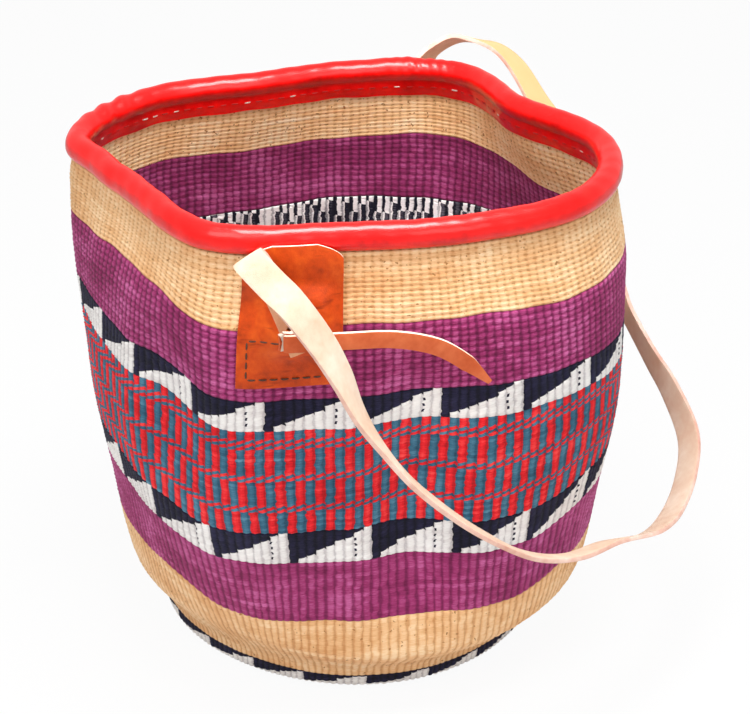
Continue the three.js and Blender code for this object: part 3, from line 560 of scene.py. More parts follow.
def weave(name, low, high, rows, fine, rib, ridge, gaps="ribs", slant=0.0, spread=0.1, run=14, pattern=None,
          slants=None):
    """A sheet of stitches between two heights. fine gives corners per warp and per row; rib and ridge are
    the relief of warps and rows in millimetres; gaps says where the shade sits: in "dots" where four
    stitches meet, round each of the "dashes", or between the upright "ribs"; pattern numbers the yarn of
    each stitch."""
    per_warp, per_row = fine
    sheet, column, row = flat_sheet(name, warp_count * per_warp, rows * per_row)
    warp, part = column // per_warp, column % per_warp
    across = rib_places[per_warp][part]
    stitch_row, step = row // per_row, row % per_row
    rise = step / per_row
    row_height = (high - low) / rows
    here = warp % warp_count
    wander = random.normal(0, stitch_wander, (warp_count, rows + 1))
    share = (warp + 0.5 + across + warp_shift[here] + wander[here, stitch_row]) / warp_count
    lean = np.full(rows + 1, float(slant)) if slants is None else np.append(slants, slants[-1]).astype(float)
    below = np.concatenate([lean[:1], lean[:-1]])
    leaning = np.where(step == 0, (lean[stitch_row] + below[stitch_row]) / 2, lean[stitch_row])
    edge = (row == 0) | (row == rows * per_row)
    height = low + (stitch_row + rise) * row_height + np.where(edge, 0, leaning * across * row_height)
    height = np.clip(height, low, high)
    round_rib = np.cos(np.pi * across) ** 0.8
    round_row = np.abs(np.sin(np.pi * rise)) ** 0.7
    plump = random.normal(0, stitch_plumpness, (warp_count, rows + 1))[here, stitch_row]
    plump = plump * round_row * round_rib
    out = (rib * round_rib + ridge * round_row * (0.35 + 0.65 * round_rib) - relief_sunk * (rib + ridge)
           + plump)
    # crest places the painted shade and light of the yarn: low between stitches, where shade is painted, high
    # on crowns, painted paler.
    between = smoothstep(np.abs(across), 0.18, 0.42)
    crest = {"dots": 1 - 0.32 * between - 0.27 * (1 - round_row) - 0.26 * between * (1 - round_row),
             "dashes": (1 - 0.62 * between) * (0.45 + 0.55 * round_row),
             "ribs": (1 - 0.62 * between) * (0.84 + 0.16 * round_row)}[gaps]
    set_values(sheet, "share", share)
    set_values(sheet, "height", height)
    set_values(sheet, "out", out)
    set_values(sheet, "crest", crest)
    move_corners(sheet, wall_point(share, height + row_drift(share, height), 0.0))
    lay_uv(sheet, share * girth / 10, height / 10)
    starts = np.empty(len(sheet.data.polygons), dtype=int)
    sheet.data.polygons.foreach_get("loop_start", starts)
    ends = np.empty(len(sheet.data.loops), dtype=int)
    sheet.data.loops.foreach_get("vertex_index", ends)
    first_column, first_row = (np.minimum.reduce([line[ends[starts + k]] for k in range(4)])
                               for line in (column, row))
    face_column, face_part = first_column // per_warp % warp_count, first_column % per_warp
    face_row = first_row // per_row
    set_values(sheet, "tone", stitch_tones(rows, spread, run)[face_column, face_row], "FACE")
    broken = random.integers(2, rows - 1, warp_count)
    leaning_pair = 2 * face_column + 2 * face_part // per_warp + (face_row > broken[face_column])
    swapped = random.random(2 * warp_count + 1) < swapped_share
    set_values(sheet, "streak", (leaning_pair + swapped[leaning_pair]) % 2 - 0.5, "FACE")
    set_values(sheet, "part", face_part, "FACE")
    if pattern is not None:
        sheet.data.polygons.foreach_set("material_index", pattern[face_column, face_row])
    merge_seam(sheet)
    return sheet


print("relief of a stitch is set at", ", ".join("%d corners" % count for count in rib_places), "per warp")

# %% Thickness, and the inner side
inner_relief = 0.8


def thicken(sheet, yarns, backs=None):
    """Gives the sheet the wall's thickness, then sets each corner into its stitch, outside and inside."""
    for yarn in yarns + (backs or []):
        sheet.data.materials.append(yarn)
    outside = len(sheet.data.vertices)
    wall = sheet.modifiers.new("wall", "SOLIDIFY")
    wall.thickness = wall_thickness * mm
    wall.offset = -1
    wall.material_offset = len(yarns) if backs else 0
    apply_modifiers(sheet)
    share, height, out = (get_values(sheet, key) for key in ("share", "height", "out"))
    front = np.arange(len(share)) < outside
    depth = np.where(front, -out, wall_thickness + inner_relief * out)
    move_corners(sheet, wall_point(share, height + row_drift(share, height), depth))
    smooth(sheet, 80)
    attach(sheet, "basket")


print("a band can be woven and thickened")

# %% [markdown]
# ## Plain bands
#
# The natural and purple bands are one yarn each. Near the top the yarn is thick, so its rows stand out as
# dashes between small gaps of painted shade; lower down the rows are packed close and the upright ribs show
# instead. The bands could be stripes painted on one wall, but separate sheets let each yarn keep its own rows
# and relief.

# %% Natural and purple bands
# Each band: name, node, lowest and highest height, rows, rib, ridge, place of its gaps, yarn.
plain_bands = [
    ("natural_band_upper", "upper_natural_band", upper_purple_top, wall_top, 14, 0.15, 0.75, "dots",
     natural_sisal),
    ("purple_band_upper", "upper_purple_band", upper_teeth_top, upper_purple_top, 12, 0.45, 0.75, "dashes",
     purple_sisal),
    ("purple_band_lower", "lower_purple_band", lower_natural_top, lower_purple_top, 15, 0.75, 0.35, "ribs",
     purple_sisal),
    ("natural_band_lower", "lower_natural_band", base_band_top, lower_natural_top, 15, 0.55, 0.3, "ribs",
     natural_sisal),
]
for name, node, low, high, rows, rib, ridge, gaps, yarn in plain_bands:
    band = weave(name, low, high, rows, (4, 2) if gaps == "ribs" else (4, 3), rib, ridge, gaps, slant=0.12)
    # The inner sides take the copies with painted light (natural, lighter) and painted shade (purple, darker).
    thicken(band, [yarn], [inner_natural_painted_lighter if yarn is natural_sisal else inner_purple_painted_darker])
    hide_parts(node)
    tell(band)

# %% [markdown]
# ## Teeth
#
# White yarn climbs one step more at each warp until it drops back, and navy yarn fills what is left, so the
# teeth have a stepped slope and an upright side. Both yarns are twined in the same rows. They are made as
# one sheet, so that their stitches meet, and then parted by yarn into the two pieces that the frame has. On
# the inside the yarn that isn't needed is carried along, which shows as streaks.

# %% White and navy teeth
teeth_round = 20
first_rise, last_fall = 0.3, 0.7
warps_per_tooth = warp_count // teeth_round


def tooth_pattern(rows, start_share):
    """Yarn of each stitch: 0 white, 1 white with a small navy dot, 2 navy."""
    warp, row = np.meshgrid(np.arange(warp_count), np.arange(rows), indexing="ij")
    step = (warp - int(round(start_share * warp_count))) % warps_per_tooth
    white_rows = np.rint((step + first_rise) * rows / (warps_per_tooth - last_fall)).astype(int)
    pattern = np.where(row < white_rows, 0, 2)
    dotted = (step == warps_per_tooth - 2) & (row < white_rows - 1) & (row > 1) & (row % 2 == 0)
    return np.where(dotted, 1, pattern)


# Each row of teeth: level, lowest and highest height, rows of yarn, and where round the wall a tooth starts.
tooth_rows = (("lower", lower_purple_top, lower_teeth_top, 12, 0.0475),
              ("upper", zigzag_top, upper_teeth_top, 10, 0.0407))
for level, low, high, rows, start in tooth_rows:
    both = weave(level + "_teeth", low, high, rows, fine=(4, 2), rib=0.8, ridge=0.35, slant=0.8,
                 pattern=tooth_pattern(rows, start))
    index = np.empty(len(both.data.polygons), dtype=np.int32)
    both.data.polygons.foreach_get("material_index", index)
    past_dot = (index == 1) & (get_values(both, "part") > 0)
    both.data.polygons.foreach_set("material_index", np.where(past_dot, 0, index))
    edit(both, "DESELECT")
    both.data.polygons.foreach_set("select", index == 2)
    edit(both, None, bpy.ops.mesh.separate, type="SELECTED")
    navy = [piece for piece in bpy.context.selected_objects if piece is not both][0]
    both.name = level + "_white_tooth_row"
    navy.name = level + "_navy_tooth_row"
    navy.data.polygons.foreach_set("material_index", np.zeros(len(navy.data.polygons), dtype=np.int32))
    thicken(both, [white_sisal, navy_sisal], [streak_back, streak_back])
    thicken(navy, [navy_sisal], [streak_back])
    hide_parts(level + "_white_teeth")
    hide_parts(level + "_navy_teeth")
    tell(both)
    tell(navy)

# %% [markdown]
# ## The red and teal band
#
# Two yarns change places at every warp, which makes upright bars of eight rows. Between the bars come a few
# rows where each stitch leans up to the right and the colours step one warp along, so that a line of one
# colour climbs from bar to bar like a stair. The pattern could be painted on. It comes from the twining
# itself, so each stitch is given its yarn by its warp and its row, and leans with it.

# %% Bars and stairs
stair_rows = [("bar", 8), ("stair", 3), ("bar", 8), ("stair", 3), ("bar", 8), ("stair", 4), ("bar", 2)]
zigzag_rows = sum(count for kind, count in stair_rows)
leans, shifts, shifted = [], [], 0
for kind, count in stair_rows:
    for k in range(count):
        shifted += kind == "stair"
        leans.append(1.0 if kind == "stair" else 0.0)
        shifts.append(shifted)
warp_number = np.arange(warp_count)[:, None]
zigzag_pattern = (warp_number - np.array(shifts)[None, :]) % 2
zigzag = weave("zigzag_weave", lower_teeth_top, zigzag_top, zigzag_rows, fine=(3, 2), rib=0.85, ridge=0.4,
               spread=0.14, pattern=zigzag_pattern, slants=np.array(leans))
thicken(zigzag, [red_sisal, teal_sisal])
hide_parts("zigzag_band")
tell(zigzag)

# %% [markdown]
# ## The foot and the bottom
#
# The lowest band curves under the basket. It starts grey-green and goes over into uneven white and navy
# teeth. The bottom is twined outwards from its middle, which leaves rings. A plate with a ring texture would
# look flat from below, so the rings are raised in a sheet that is wound round its middle.

# %% The lowest band
base_rows, green_rows, lowest_tooth, tooth_rise = 16, 5, 6, 9
warp, row = np.meshgrid(np.arange(warp_count), np.arange(base_rows), indexing="ij")
step = (warp + (random.integers(0, 3, warp_count)[:, None] == 0)) % warps_per_tooth
tooth_edge = lowest_tooth + np.rint(step * tooth_rise / (warps_per_tooth - 1))
base_pattern = np.where(row < green_rows, 2, np.where(row < tooth_edge, 0, 1))
foot_band = weave("foot_weave", 0, base_band_top, base_rows, fine=(4, 2), rib=0.8, ridge=0.22,
                  spread=0.12, pattern=base_pattern)
thicken(foot_band, [white_sisal, navy_sisal, grey_green_sisal])
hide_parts("base_band")
tell(foot_band)

# %% The twined bottom
disc_radius = base_radius - 1.3
middle_hole = 2
ring_rows, corners_per_ring = 31, 3
disc_top, disc_low, ring_relief = 3.4, 0.5, 0.5
disc, spoke, ring = flat_sheet("bottom_weave", warp_count, ring_rows * corners_per_ring)
turn = spoke / warp_count * full_turn
reach = middle_hole + (disc_radius - middle_hole) * ring / (ring_rows * corners_per_ring)
swell = np.abs(np.sin(np.pi * (ring / corners_per_ring + spoke / warp_count)))
swell = swell * (1 - smoothstep(reach, disc_radius - 4, disc_radius))
# Painted shade: by this crest the bottom's colour darkens in the grooves between its rings.
set_values(disc, "crest", 0.3 + 0.7 * swell)
set_values(disc, "swell", swell)
lay_uv(disc, reach * turn / 10, reach / 10)
flat_height = np.full(len(turn), float(wall_thickness))
move_corners(disc, np.stack([reach * np.cos(turn), reach * np.sin(turn), flat_height], 1))
merge_seam(disc)
edit(disc, "SELECT", bpy.ops.mesh.normals_make_consistent, inside=False)
edit(disc, "DESELECT")
# The innermost corners lie 2 mm out and 4 mm up, nearest to the origin, and one face closes their ring.
innermost = (wall_thickness + 0.7) * mm
for edge in disc.data.edges:
    edge.select = all(disc.data.vertices[end].co.length < innermost for end in edge.vertices)
edit(disc, None, bpy.ops.mesh.edge_face_add)
if disc.data.polygons[0].normal.z < 0:
    disc.data.flip_normals()
top_count = len(disc.data.vertices)
plate = disc.modifiers.new("thickness", "SOLIDIFY")
plate.thickness = wall_thickness * mm
plate.offset = -1
apply_modifiers(disc)
places = corners(disc) / mm
lift = get_values(disc, "swell") * ring_relief
upper = np.arange(len(places)) < top_count
places[:, 2] = np.where(upper, disc_top + lift, disc_low - lift)
move_corners(disc, places)
disc.data.materials.append(grey_green_sisal)
set_values(disc, "tone", random.normal(0, 0.08, len(disc.data.polygons)), "FACE")
smooth(disc, 80)
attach(disc, "basket")
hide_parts("base_disc")
tell(disc)

# %% [markdown]
# ## Leather and thread
#
# The rim, the patches, the strap and the laces are tanned hide. Its grain side is closed and takes a gloss,
# its flesh side and its cut edges are open and matt. One finish could be copied and repainted for each; here
# one function draws them all, with the grain's rounded cells, a slow change of tone, and wear in the gloss.
# The seams are sewn with waxed thread of two plies.

# %% The leather finish
far_start, far_full, far_share = 52.0, 68.0, 0.85
coat_roughness, leather_specular = 0.17, 0.25
patches_per_metre, wear_per_metre = 45.0, 260.0
creases_per_metre = (60, 60, 260)


def leather(name, deep, middle, light, roughness, grain_mm, coat=0.0, bump_mm=0.12, crease_share=0.0,
            far=None):
    """Tanned hide. The grain is small rounded cells, drawn at the given size, over a slow change of tone. far
    is a colour that a long strip takes on between far_start and far_full centimetres along it."""
    material, tree = new_material(name)
    spot = add_node(tree, "TexCoord")
    cells = add_node(tree, "TexVoronoi", {"Vector": spot.outputs["Object"], "Scale": 1000 / grain_mm},
                     feature="DISTANCE_TO_EDGE")
    pores = add_node(tree, "MapRange", {"Value": cells.outputs["Distance"], "From Min": 0.0,
                                        "From Max": 0.25})
    patches = add_node(tree, "TexNoise", {"Vector": spot.outputs["Object"], "Scale": patches_per_metre,
                                          "Detail": 4.0, "Roughness": 0.6})
    worn = add_node(tree, "TexNoise", {"Vector": spot.outputs["Object"], "Scale": wear_per_metre,
                                       "Detail": 3.0})
    blend = add_node(tree, "Math", {0: patches.outputs["Fac"], 1: 0.75}, operation="MULTIPLY")
    blend = add_node(tree, "Math", {0: worn.outputs["Fac"], 1: 0.25, 2: blend.outputs[0]},
                     operation="MULTIPLY_ADD")
    tanned = add_node(tree, "ValToRGB", {"Fac": blend.outputs[0]})
    tanned.color_ramp.elements[0].color = colour(deep)
    tanned.color_ramp.elements[0].position = 0.32
    tanned.color_ramp.elements[1].color = colour(light)
    tanned.color_ramp.elements[1].position = 0.68
    tanned.color_ramp.elements.new(0.5).color = colour(middle)
    hide = tanned.outputs["Color"]
    if far:
        surface = add_node(tree, "UVMap", uv_map="UVMap")
        along = add_node(tree, "SeparateXYZ", {"Vector": surface.outputs["UV"]})
        reached = add_node(tree, "MapRange", {"Value": along.outputs["X"], "From Min": far_start,
                                              "From Max": far_full, "To Max": far_share})
        hide = add_node(tree, "Mix", {"Factor": reached.outputs[0], "A": hide, "B": colour(far)},
                        data_type="RGBA").outputs["Result"]
    if crease_share:
        stretch = add_node(tree, "Mapping", {"Vector": spot.outputs["Object"], "Scale": creases_per_metre,
                                             "Rotation": (0.0, 0.5, 0.0)})
        lines = add_node(tree, "TexNoise", {"Vector": stretch.outputs[0], "Scale": 1.0, "Detail": 2.0})
        dark = add_node(tree, "MapRange", {"Value": lines.outputs["Fac"], "From Min": 0.62, "From Max": 0.72,
                                           "To Max": crease_share})
        hide = add_node(tree, "Mix", {"Factor": dark.outputs[0], "A": hide, "B": colour(deep)},
                        data_type="RGBA").outputs["Result"]
    bump = add_node(tree, "Bump", {"Height": pores.outputs[0], "Strength": 0.35, "Distance": bump_mm * mm})
    rough = add_node(tree, "MapRange", {"Value": worn.outputs["Fac"], "From Min": 0.3, "From Max": 0.7,
                                        "To Min": roughness - 0.06, "To Max": roughness + 0.06})
    skin = add_node(tree, "BsdfPrincipled", {
        "Base Color": hide, "Normal": bump.outputs[0], "Roughness": rough.outputs[0], "Coat Weight": coat,
        "Coat Roughness": coat_roughness, "Specular IOR Level": leather_specular})
    add_node(tree, "OutputMaterial", {"Surface": skin.outputs[0]})
    return material


# The rim's leather is dyed and polished, so it has a coat. The patches' is plain, with dark crease lines drawn
# in its deep colour.
# Flesh sides and cut edges are matt and pale, and the strap is more golden where it passes behind the basket.
red_leather = leather("glossy red dyed leather", "#c00200", "#e40402", "#f8120b", 0.34, 0.9, coat=0.5)
orange_leather = leather("orange tanned leather, grain side", "#922d02", "#c84506", "#e26113", 0.44, 1.1,
                         crease_share=0.8)
tan_leather = leather("tan leather, grain side", "#c04f1e", "#d26234", "#e07646", 0.5, 1.0)
pale_leather = leather("pale leather, flesh side", "#d3ae93", "#dcc2aa", "#e5d2be", 0.8, 0.7, bump_mm=0.2,
                       far="#cfa56c")
grain_leather = leather("tan leather behind the pale side", "#c98a62", "#dda37c", "#eabb96", 0.5, 1.0)
edge_leather = leather("cut edge of the strap", "#d9a08c", "#eabfad", "#f5dacb", 0.7, 0.5)
cut_leather = leather("cut edge of leather", "#e0bfa4", "#f2dcc8", "#fbefe2", 0.85, 0.5, bump_mm=0.2)
print("leathers:", ", ".join(finish.name for finish in bpy.data.materials if "leather" in finish.name))

# %% The thread finish
def spun(name, deep, light, twist_mm):
    """Waxed thread has a dull shine and slanting lines, from two plies with one twist in each given length."""
    material, tree = new_material(name)
    surface = add_node(tree, "UVMap", uv_map="UVMap")
    plies = add_node(tree, "TexWave", {"Vector": surface.outputs["UV"], "Scale": 10 / twist_mm,
                                       "Distortion": 0.6}, bands_direction="DIAGONAL")
    shade = add_node(tree, "Mix", {"Factor": plies.outputs["Fac"], "A": colour(deep), "B": colour(light)},
                     data_type="RGBA")
    bump = add_node(tree, "Bump", {"Height": plies.outputs["Fac"], "Strength": 0.6, "Distance": 0.0002})
    wax = add_node(tree, "BsdfPrincipled", {"Base Color": shade.outputs["Result"], "Roughness": 0.6,
                                            "Normal": bump.outputs[0]})
    add_node(tree, "OutputMaterial", {"Surface": wax.outputs[0]})
    return material


dark_thread = spun("dark waxed thread", "#3a2116", "#6b4630", 1.0)
white_thread = spun("white waxed thread", "#c9b9a6", "#f3ebe0", 1.0)
red_thread = spun("red waxed thread", "#a00c08", "#d5201a", 1.0)
print("threads:", ", ".join(finish.name for finish in bpy.data.materials if "thread" in finish.name))

# %% [markdown]
# ## The red leather rim
#
# A strip of glossy leather is rolled over a cane hoop, sewn through the wall below it, and its inner edge is
# left as a flat flange. It could be a bent tube, but a tube has no crease and no flange. So the strip's
# section is drawn once, from its outer foot over the top to the flange's edge, and carried round the mouth.
# Where the strip bends sharply it puckers, and at one place its end laps over its beginning.

# %% The rolled strip
roll_radius = 7
hoop_radius = 4.6
leather_thickness = 1.6
rim_clearance = 0.4
flange_drop = 9
flange_foot = wall_thickness / 2 + rim_clearance
flange_out = flange_foot + leather_thickness
pucker_share, pucker_half = 0.42, 0.045
lap_share, lap_half, lap_height = 0.19, 0.035, 0.55
roll_part = 0.78
around, section = 760, 44


def rim_point(share, out, height):
    place = wall_point(share, np.minimum(height, rim_height), wall_thickness / 2 - out)
    place[:, 2] = height
    return place


roll, column, row = flat_sheet("rolled_rim", around, section)
share = column / around
path = row / section
first_turn = np.arcsin(flange_foot / roll_radius)
last_turn = full_turn - np.arcsin(flange_out / roll_radius)
turn = first_turn + (last_turn - first_turn) * np.clip(path / roll_part, 0, 1)
gather = hump(round_from(share, pucker_share), pucker_half)
away = round_from(share, lap_share)
lap = smoothstep(away * girth + 4 * np.cos(turn), 0, 1.2) * (1 - smoothstep(away * girth, 14, 40))
folds = hump(away, lap_half) * np.sin(full_turn * (away * girth / 7 + turn / 3))
swell = (0.18 * np.sin(17 * share * full_turn + 2 * turn) * np.sin(41 * share * full_turn)
         + gather * 0.7 * np.sin(share * girth / 2.6 + 1.5 * np.sin(turn))
         + lap_height * lap + 0.3 * folds)
radius = roll_radius + swell * np.sin(np.clip(path / roll_part, 0, 1) * np.pi) ** 0.5
down = np.clip((path - roll_part) / (1 - roll_part), 0, 1)
roll_end_height = rim_height - roll_radius * np.cos(last_turn)
flange_end = wall_top - flange_drop + 0.5 * np.sin(23 * share * full_turn) * np.sin(7 * share * full_turn)
puff = 0.7 * np.sin(np.pi * np.clip(down * 1.15, 0, 1)) * (1 + 0.3 * np.sin(60 * share * full_turn))
out = np.where(path <= roll_part, radius * np.sin(turn), -flange_out - puff)
height = np.where(path <= roll_part, rim_height - radius * np.cos(turn),
                  roll_end_height + (flange_end - roll_end_height) * down)
lay_uv(roll, share * girth / 10, path * 6)
move_corners(roll, rim_point(share, out, height))
merge_seam(roll)
hide = roll.modifiers.new("leather", "SOLIDIFY")
hide.thickness = 0.9 * leather_thickness * mm
hide.offset = -1
roll.data.materials.append(red_leather)
apply_modifiers(roll)
smooth(roll, 60)
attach(roll, "basket")
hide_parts("rim_binding")
tell(roll)

# %% [markdown]
# ## The cane hoop
#
# A hoop of split cane keeps the mouth open. It lies inside the roll and isn't seen, but it carries the rim,
# so it is made as well. It could be a curve with a bevel; a sheet that is rolled round the roll's own line
# keeps it inside the roll everywhere. Its bark is smooth and straw coloured, with a slow change of tone.

# %% Cane hoop, hidden inside the roll
hoop_steps, hoop_sides, hoop_girth = 360, 16, 28
cane, tree = new_material("split cane, bark side")
spot = add_node(tree, "TexCoord")
rings = add_node(tree, "TexNoise", {"Vector": spot.outputs["Object"], "Scale": 180.0, "Detail": 3.0})
bark = add_node(tree, "Mix", {"Factor": rings.outputs["Fac"], "A": colour("#a9814f"),
                              "B": colour("#d8b984")}, data_type="RGBA")
stem = add_node(tree, "BsdfPrincipled", {"Base Color": bark.outputs["Result"], "Roughness": 0.45})
add_node(tree, "OutputMaterial", {"Surface": stem.outputs[0]})
hoop, column, row = flat_sheet("cane_hoop", hoop_steps, hoop_sides)
share = column / hoop_steps
turn = row / hoop_sides * full_turn
lay_uv(hoop, share * girth / 10, row / hoop_sides * hoop_girth / 10)
move_corners(hoop, rim_point(share, hoop_radius * np.sin(turn), rim_height - hoop_radius * np.cos(turn)))
merge_seam(hoop)
hoop.data.materials.append(cane)
smooth(hoop, 60)
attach(hoop, "basket")
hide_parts("rim_hoop")
tell(hoop)

# %% [markdown]
# ## Sewing
#
# A hand-sewn stitch is a short length of waxed thread that dives into the leather at both ends. A dashed
# line in the leather's colour would have no height, so one stitch is modelled as a capsule, bent down at its
# ends, and copied along the seam.

# %% One stitch, and seams made of it
bpy.ops.object.select_all(action="DESELECT")
bpy.ops.mesh.primitive_uv_sphere_add(segments=10, ring_count=8, radius=1.0)
stitch = bpy.context.object
stitch.name = "one_stitch"
ball = corners(stitch)
stitch_shape = np.stack([np.sign(ball[:, 2]) * np.abs(ball[:, 2]) ** 0.7, ball[:, 0], ball[:, 1]], 1)


def unit(vectors):
    return vectors / np.linalg.norm(vectors, axis=-1, keepdims=True)


def sew(name, places, directions, normals, lengths, thickness, threads, thread_index):
    """Copies the stitch along a seam: a middle, a direction, a normal and a length for each."""
    copies = []
    for place, direction, normal, length, number in zip(places, directions, normals, lengths, thread_index):
        copy = stitch.copy()
        copy.data = stitch.data.copy()
        bpy.context.scene.collection.objects.link(copy)
        side = np.cross(normal, direction)
        bend = -0.5 * thickness * stitch_shape[:, 0] ** 2
        move_corners(copy, place + np.outer(stitch_shape[:, 0] * length / 2, direction)
                     + np.outer(stitch_shape[:, 1] * thickness / 2, side)
                     + np.outer(stitch_shape[:, 2] * thickness / 2 + bend, normal))
        for thread in threads:
            copy.data.materials.append(thread)
        copy.data.polygons.foreach_set("material_index", np.full(len(copy.data.polygons), number))
        copies.append(copy)
    select_only(*copies)
    bpy.ops.object.join()
    seam = bpy.context.object
    seam.name = name
    seam.data.name = name
    edit(seam, "SELECT", bpy.ops.mesh.normals_make_consistent, inside=False)
    smooth(seam, 60)
    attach(seam, "basket")
    return seam


print("one stitch has %d faces" % len(stitch.data.polygons))

# %% The rim's seam
seam_count = 118
seam_stitch, seam_thread, white_share = 4.6, 0.9, 0.14
seam_share = (np.arange(seam_count) + 0.5) / seam_count
seam_out = -(flange_out + 0.75)
seam_height = np.full(seam_count, wall_top - 3.0)
seam_places = rim_point(seam_share, seam_out, seam_height)
seam_ahead = rim_point(seam_share + 0.002, seam_out, seam_height)
seam_normals = -wall_normal(angle_at(seam_share), seam_height - 5)
shows_white = (random.random(seam_count) < white_share).astype(int)
rim_seam = sew("rim_seam", seam_places, unit(seam_ahead - seam_places), seam_normals,
               np.full(seam_count, seam_stitch), seam_thread, [red_thread, white_thread], shows_white)
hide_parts("rim_thread")
tell(rim_seam)

# %% [markdown]
# ## The patches
#
# Each patch is a tongue of orange leather sewn to the wall, with its corners cut off at the top and a hole
# for the lace. A sheet is laid on the wall by the patch's own width and height, thickened outwards, its
# edge softened, and the hole is cut with a round punch, as it would be at the bench.

# %% Sizes of a patch, and its surface
patch_width, patch_height = 55, 74
patch_top = rim_height - 1
patch_bottom = patch_top - patch_height
patch_thickness = 2.5
patch_clearance = 0.3
lace_hole_height = patch_top - 39
lace_hole_radius = 4.2
corner_height, corner_cut = 8, 15
pocket_depth, pocket_offset, pocket_half_width, pocket_half_height = 5.4, 5.5, 11, 10
lean_start, lean_full, lean_reach = patch_top - 31, patch_top - 6, 5.4
# Where the patches are: view, share of the turn, and 1 or -1 for the side that its lace's tail runs to.
patch_views = (("front", 0.7025, 1), ("back", 0.236, -1))


def patch_surface(turn_share, side, across, height, out):
    lean = smoothstep(height, lean_start, lean_full)
    away = ((np.abs(across - side * pocket_offset) / pocket_half_width) ** 4
            + (np.abs(height - lace_hole_height) / pocket_half_height) ** 4) ** 0.25
    pocket = 1 - smoothstep(away, 1.0, 2.2)
    off = patch_clearance + lean_reach * lean + (pocket_depth - patch_clearance) * pocket + out
    return wall_point(turn_share + across / girth, height, -off)


def patch_half(height):
    corner = np.clip((height - (patch_top - corner_height)) / corner_height, 0, 1)
    return patch_width / 2 - corner_cut * corner * corner


print("each patch is %d x %d mm, its hole %.1f mm wide" % (patch_width, patch_height, 2 * lace_hole_radius))

# %% A punch and a worn edge
def punch_hole(piece, centre, direction, radius):
    bpy.ops.object.select_all(action="DESELECT")
    bpy.ops.mesh.primitive_cylinder_add(vertices=32, radius=radius * mm, depth=0.03)
    cutter = bpy.context.object
    cutter.data.transform(Matrix.Translation(Vector(centre * mm))
                          @ Vector(direction).to_track_quat("Z", "Y").to_matrix().to_4x4())
    cut = piece.modifiers.new("punch", "BOOLEAN")
    cut.operation = "DIFFERENCE"
    cut.solver = "EXACT"
    cut.object = cutter
    apply_modifiers(piece)
    bpy.data.objects.remove(cutter)


def soften_edge(piece, width_mm):
    bevel = piece.modifiers.new("worn edge", "BEVEL")
    bevel.width = width_mm * mm
    bevel.segments = 2
    bevel.limit_method = "ANGLE"
    bevel.angle_limit = np.radians(50)
    apply_modifiers(piece)


print("a punch and a bevel are ready for leather")

# %% Two patches and their stitching
def outward(turn_share):
    normal = wall_normal(angle_at(np.array([turn_share])), np.array([float(lace_hole_height)]))[0]
    normal[2] = 0
    return unit(normal)


patch_columns, patch_rows = 54, 74
seam_margin, seam_box_height, stitch_pitch, patch_thread = 5, 21, 5.4, 1.0
holes = {}
for view, turn_share, side in patch_views:
    patch, column, row = flat_sheet(view + "_tongue", patch_columns, patch_rows)
    height = patch_bottom + patch_height * row / patch_rows
    across = patch_half(height) * (2 * column / patch_columns - 1)
    ripple = 0.25 * np.sin(across / 9 + height / 13) * np.sin(height / 7)
    lay_uv(patch, across / 10, height / 10)
    move_corners(patch, patch_surface(turn_share, side, across, height, patch_thickness - 0.3 + ripple))
    sheet = patch.modifiers.new("leather", "SOLIDIFY")
    sheet.thickness = 0.85 * patch_thickness * mm
    sheet.offset = -1
    sheet.material_offset = 1
    sheet.material_offset_rim = 1
    for finish in (orange_leather, cut_leather):
        patch.data.materials.append(finish)
    apply_modifiers(patch)
    hole = patch_surface(turn_share, side, 0.0, lace_hole_height, patch_thickness)[0]
    facing = outward(turn_share)
    holes[view] = (hole, facing)
    punch_hole(patch, hole, facing, lace_hole_radius)
    soften_edge(patch, 0.35)
    smooth(patch, 40)
    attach(patch, "basket")
    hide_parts(view + "_patch")
    tell(patch)
    half, low = patch_width / 2 - seam_margin, patch_bottom + seam_margin
    high = low + seam_box_height
    box = [(-half, low, half, low), (half, low, half, high), (half, high, -half, high),
           (-half, high, -half, low)]
    middles, aims, faces = [], [], []
    for x0, z0, x1, z1 in box:
        count = int(round(np.hypot(x1 - x0, z1 - z0) / stitch_pitch))
        for k in range(count):
            a, b = (patch_surface(turn_share, side, x0 + (x1 - x0) * t, z0 + (z1 - z0) * t,
                                  patch_thickness + 0.1)[0] for t in ((k + 0.12) / count, (k + 0.88) / count))
            middles.append((a + b) / 2)
            aims.append(b - a)
            spot_share = np.array([turn_share + (x0 + x1) / 2 / girth])
            faces.append(wall_normal(angle_at(spot_share), np.array([(z0 + z1) / 2]))[0])
    aims = np.array(aims)
    seam = sew(view + "_patch_seam", middles, unit(aims), faces, np.linalg.norm(aims, axis=1), patch_thread,
               [dark_thread], [0] * len(middles))
    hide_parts(view + "_patch_stitching")
    tell(seam)

# %% [markdown]
# ## The strap and the laces
#
# The strap is one long strip of leather, pale on its flesh side and tan on its grain side, so both sides
# matter where it turns over. A curve with a bevel would twist freely; here each station of the route says
# where the strip is and which way its pale side faces, as a strip's own stiffness would. Below its fold the
# strap is turned a little more than in the measured model, because the photograph shows it narrower there.

# %% A smooth route through stations
def curve_at(points, t, even):
    """Catmull-Rom curve through points; even=False spaces it by the distances between them."""
    points = np.asarray(points, float)
    last = len(points) - 1
    place = min(max(t, 0), 1) * last
    index = min(int(place), last - 1)
    w = place - index
    p1, p2 = points[index], points[index + 1]
    p0 = points[index - 1] if index > 0 else 2 * points[0] - points[1]
    p3 = points[index + 2] if index + 2 <= last else 2 * points[last] - points[last - 1]
    if even:
        t1, t2 = 0.5 * (p2 - p0), 0.5 * (p3 - p1)
    else:
        d0, d1, d2 = (np.sqrt(np.linalg.norm(b - a)) for a, b in ((p0, p1), (p1, p2), (p2, p3)))
        t1 = ((p1 - p0) / d0 - (p2 - p0) / (d0 + d1) + (p2 - p1) / d1) * d1
        t2 = ((p2 - p1) / d1 - (p3 - p1) / (d1 + d2) + (p3 - p2) / d2) * d1
    return (p1 + t1 * w + (3 * (p2 - p1) - 2 * t1 - t2) * w * w + (2 * (p1 - p2) + t1 + t2) * w ** 3)


